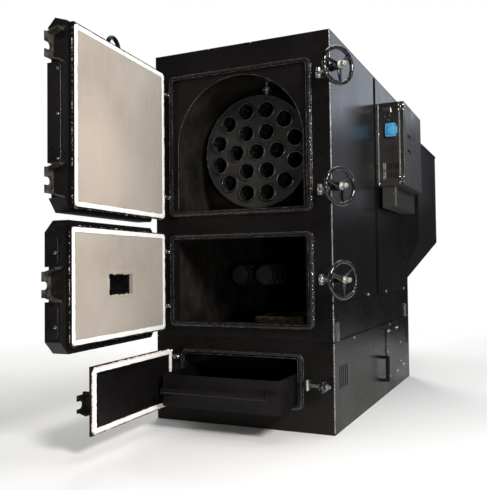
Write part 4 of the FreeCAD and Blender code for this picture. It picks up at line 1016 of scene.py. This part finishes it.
def hopperFittings():
    face = float(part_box("hopper_bin")[1][0]) - 0.0005
    fit("hopper_bolt", "zincPlate", "zinc", (hexHead(0.009, 0.008), [[face, *hopperSettings["bolt"]]], rightSide))
    fit("hopper_bracket", "zincPlate", "zinc",
        (softPlate(0.011, 0.024, 0.003, 0.004), [[face, *hopperSettings["bracket"]]], rightSide))


def sensorNut():
    # six-sided nut and washer under the sensor
    fit("sensor_nut", "zincPlate", "zinc", (hexHead(0.0195, 0.016), [sensorPlace], topSide))


eyeSettings = {"x": -0.009, "y": -1.0905, "z": 1.998, "radius": 0.051, "bar": 0.0112}


def liftingEye():
    # bent bar: circle of the bar's radius carried round a little over half a ring
    look = eyeSettings
    t = np.linspace(math.radians(-9), math.radians(189), 60)
    section = look["bar"] * circle(18)
    out = np.column_stack([np.cos(t), np.zeros(60), np.sin(t)])
    middle = np.array([look[key] for key in "xyz"])
    rings = (middle + look["radius"] * out[:, None] + section[:, :1] * out[:, None] + section[:, 1:] * depthAxis)
    makePiece("lifting_eye_bar", [ringStack(rings)], "upper_door", "coverBlack",
              "upper_door_hinge", replaces=("upper_door_eye",))


peepholeSettings = {"x": 0.027, "y": -1.0195, "z": 0.7865, "halfX": 0.110, "halfZ": 0.053, "bead": 0.0052,
                    "out": 0.0045}


def peepholeLip():
    # hand-smoothed plaster round the peephole: half-round bead with a seeded wander
    look = peepholeSettings
    rng = np.random.default_rng(9)
    position, normal, s = roundRectangle(look["halfX"], look["halfZ"], 0.004, 0.004)
    wander = np.interp(s, np.linspace(0, s[-1], 60), rng.uniform(0.35, 1.5, 60))
    section = look["bead"] * wander[:, None, None] * circle(10) * [1.5, 0.55] + [look["out"], 0.0]
    path, outward = onFace(position, normal, look["y"], look["z"], look["x"])
    makePiece("peephole_plaster", [loopSweep(path, outward, depthAxis, section)], "middle_door",
              "refractoryBoard", "middle_door_hinge")


burnerSettings = {"rows": 13, "columns": 10, "hole": 0.0065, "depth": 0.006, "edge": 0.009, "slope": 0.002,
                  "top": 0.006, "under": 0.016}


def burnerGrate():
    # plate whose height falls by a smooth step inside each hole of a square pattern
    low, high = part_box("burner_trough")
    low, high = np.array(low), np.array(high)
    look = burnerSettings
    edge = look["edge"]
    u = np.linspace(low[0] + edge, high[0] - edge, 141)
    v = np.linspace(low[1] + edge, high[1] - edge, 181)
    gridU, gridV = np.meshgrid(u, v, indexing="ij")
    cellU = (high[0] - low[0] - 2 * edge) / look["columns"]
    cellV = (high[1] - low[1] - 2 * edge) / look["rows"]
    du = (gridU - u[0]) % cellU - cellU / 2
    dv = (gridV - v[0]) % cellV - cellV / 2
    away = np.hypot(du, dv)
    fall = np.clip((look["hole"] - away) / look["slope"], 0, 1)
    top = high[2] - look["top"] - look["depth"] * fall ** 2 * (3 - 2 * fall)
    count = u.size * v.size
    points = np.stack([gridU, gridV, top], -1).reshape(-1, 3)
    under = points.copy()
    under[:, 2] = high[2] - look["under"]
    i = np.arange(u.size - 1)[:, None]
    j = np.arange(v.size - 1)[None, :]
    a = i * v.size + j
    quads = np.stack([a, a + v.size, a + v.size + 1, a + 1], -1).reshape(-1, 4)
    rim = np.concatenate([np.arange(u.size) * v.size, (u.size - 1) * v.size + np.arange(1, v.size),
                          np.arange(u.size - 2, -1, -1) * v.size + v.size - 1, np.arange(v.size - 2, 0, -1)])
    following = np.roll(rim, -1)
    walls = np.stack([rim, following, following + count, rim + count], -1)
    faces = np.concatenate([quads, quads[:, ::-1] + count, walls])
    surface = (np.concatenate([points, under]), faces, np.zeros((0, 3), int))
    makePiece("burner_grate", [surface], "boiler", "firedClay")


hopperFittings()
sensorNut()
liftingEye()
peepholeLip()
burnerGrate()
print("pieces made")


# floor, light and camera

def floor():
    mesh = bpy.data.meshes.new("studio_floor")
    mesh.from_pydata([(-14, -14, -0.0006), (14, -14, -0.0006), (14, 14, -0.0006), (-14, 14, -0.0006)], [],
                     [(0, 1, 2, 3)])
    finish = Finish("studioFloor", Specular_IOR_Level=0.1)
    tone = finish.between(finish.noise(0.4, 2.0), 0.3, 0.7)
    away = finish.axis("X") * finish.axis("X") + finish.axis("Y") * finish.axis("Y")
    mesh.materials.append(finish.feed(Base_Color=finish.blend(tone, (0.92, 0.92, 0.925), (0.95, 0.95, 0.95)),
                                      Roughness=finish.between(tone, 0.0, 1.0, 0.7, 0.8),
                                      Alpha=finish.between(away, 3.0, 20.0, 1.0, 0.0)))
    plane = bpy.data.objects.new("studio_floor", mesh)
    bpy.context.scene.collection.objects.link(plane)


lampSettings = {
    "key": {"at": (3.7, -3.7, 3.2), "to": (-0.3, -1.1, 1.1), "size": 1.1, "power": 255, "tint": (1.0, 0.985, 0.96)},
    "spark": {"at": (2.7, -4.9, 0.6), "to": (0.0, -0.8, 1.4), "size": 0.5, "power": 62, "tint": (1.0, 0.98, 0.96)},
    "front": {"at": (-2.2, -5.2, 2.6), "to": (0.0, -1.0, 1.0), "size": 3.0, "power": 7, "tint": (1.0, 0.97, 0.94)},
    "ceiling": {"at": (0.4, 0.2, 5.4), "to": (0.0, 0.0, 0.0), "size": 4.0, "power": 150, "tint": (1.0, 1.0, 1.0)},
    "sideBox": {"at": (2.2, 5.4, 4.05), "to": (0.5, -0.6, 1.9), "size": 2.0, "power": 21, "tint": (0.80, 0.86, 1.0)},
    "sideLow": {"at": (2.6, 5.2, 2.5), "to": (0.5, -0.4, 1.4), "size": 1.6, "power": 3.6, "tint": (0.80, 0.86, 1.0)},
    "rear": {"at": (-2.8, 5.4, 3.0), "to": (0.0, 1.0, 1.0), "size": 2.2, "power": 230, "tint": (1.0, 0.98, 0.95)},
    "right": {"at": (6.2, 0.6, 3.4), "to": (0.5, 0.0, 1.0), "size": 3.2, "power": 34, "tint": (1.0, 0.99, 0.97)},
    "left": {"at": (-6.0, -0.2, 3.4), "to": (-0.5, 0.0, 1.0), "size": 3.2, "power": 110, "tint": (1.0, 0.99, 0.97)},
}


def lamps():
    for name, look in lampSettings.items():
        light = bpy.data.lights.new(name, "AREA")
        light.shape = "SQUARE"
        light.size = look["size"]
        light.energy = look["power"]
        light.color = look["tint"]
        lamp = bpy.data.objects.new(name, light)
        bpy.context.scene.collection.objects.link(lamp)
        lamp.location = look["at"]
        aim = Vector(look["to"]) - Vector(look["at"])
        lamp.rotation_euler = aim.to_track_quat("-Z", "Y").to_euler()


worldSettings = {"seen": 1.0, "ambient": 0.035}


def studioWorld():
    # white behind the object, a dim even room for everything else
    world = bpy.data.worlds.new("studio")
    world.use_nodes = True
    bpy.context.scene.world = world
    tree = world.node_tree
    background = tree.nodes["Background"]
    background.inputs["Color"].default_value = (1, 1, 1, 1)
    path = tree.nodes.new("ShaderNodeLightPath")
    level = tree.nodes.new("ShaderNodeMapRange")
    level.inputs["To Min"].default_value = worldSettings["ambient"]
    level.inputs["To Max"].default_value = worldSettings["seen"]
    tree.links.new(path.outputs["Is Camera Ray"], level.inputs["Value"])
    tree.links.new(level.outputs[0], background.inputs["Strength"])


cameraSettings = {"at": (1.5297, -4.2445, 0.8661), "yaw": 24.806, "pitch": 1.9065, "roll": -0.6265,
                  "focal": 656.118, "longSide": 490.0, "sensor": 36.0}


def camera():
    look = cameraSettings
    yaw, pitch, roll = (math.radians(look[key]) for key in ("yaw", "pitch", "roll"))
    ahead = Vector((-math.sin(yaw) * math.cos(pitch), math.cos(yaw) * math.cos(pitch), math.sin(pitch)))
    level = Vector((math.cos(yaw), math.sin(yaw), 0.0))
    upright = level.cross(ahead)
    right = math.cos(roll) * level + math.sin(roll) * upright
    up = -math.sin(roll) * level + math.cos(roll) * upright
    data = bpy.data.cameras.new("camera")
    data.sensor_width = look["sensor"]
    data.lens = look["focal"] / look["longSide"] * look["sensor"]
    seen = bpy.data.objects.new("camera", data)
    bpy.context.scene.collection.objects.link(seen)
    turn = Matrix((right, up, -ahead)).transposed()
    seen.matrix_world = Matrix.Translation(look["at"]) @ turn.to_4x4()
    bpy.context.scene.camera = seen


floor()
lamps()
studioWorld()
camera()
bpy.context.scene.view_settings.view_transform = "Standard"
print("stage set")
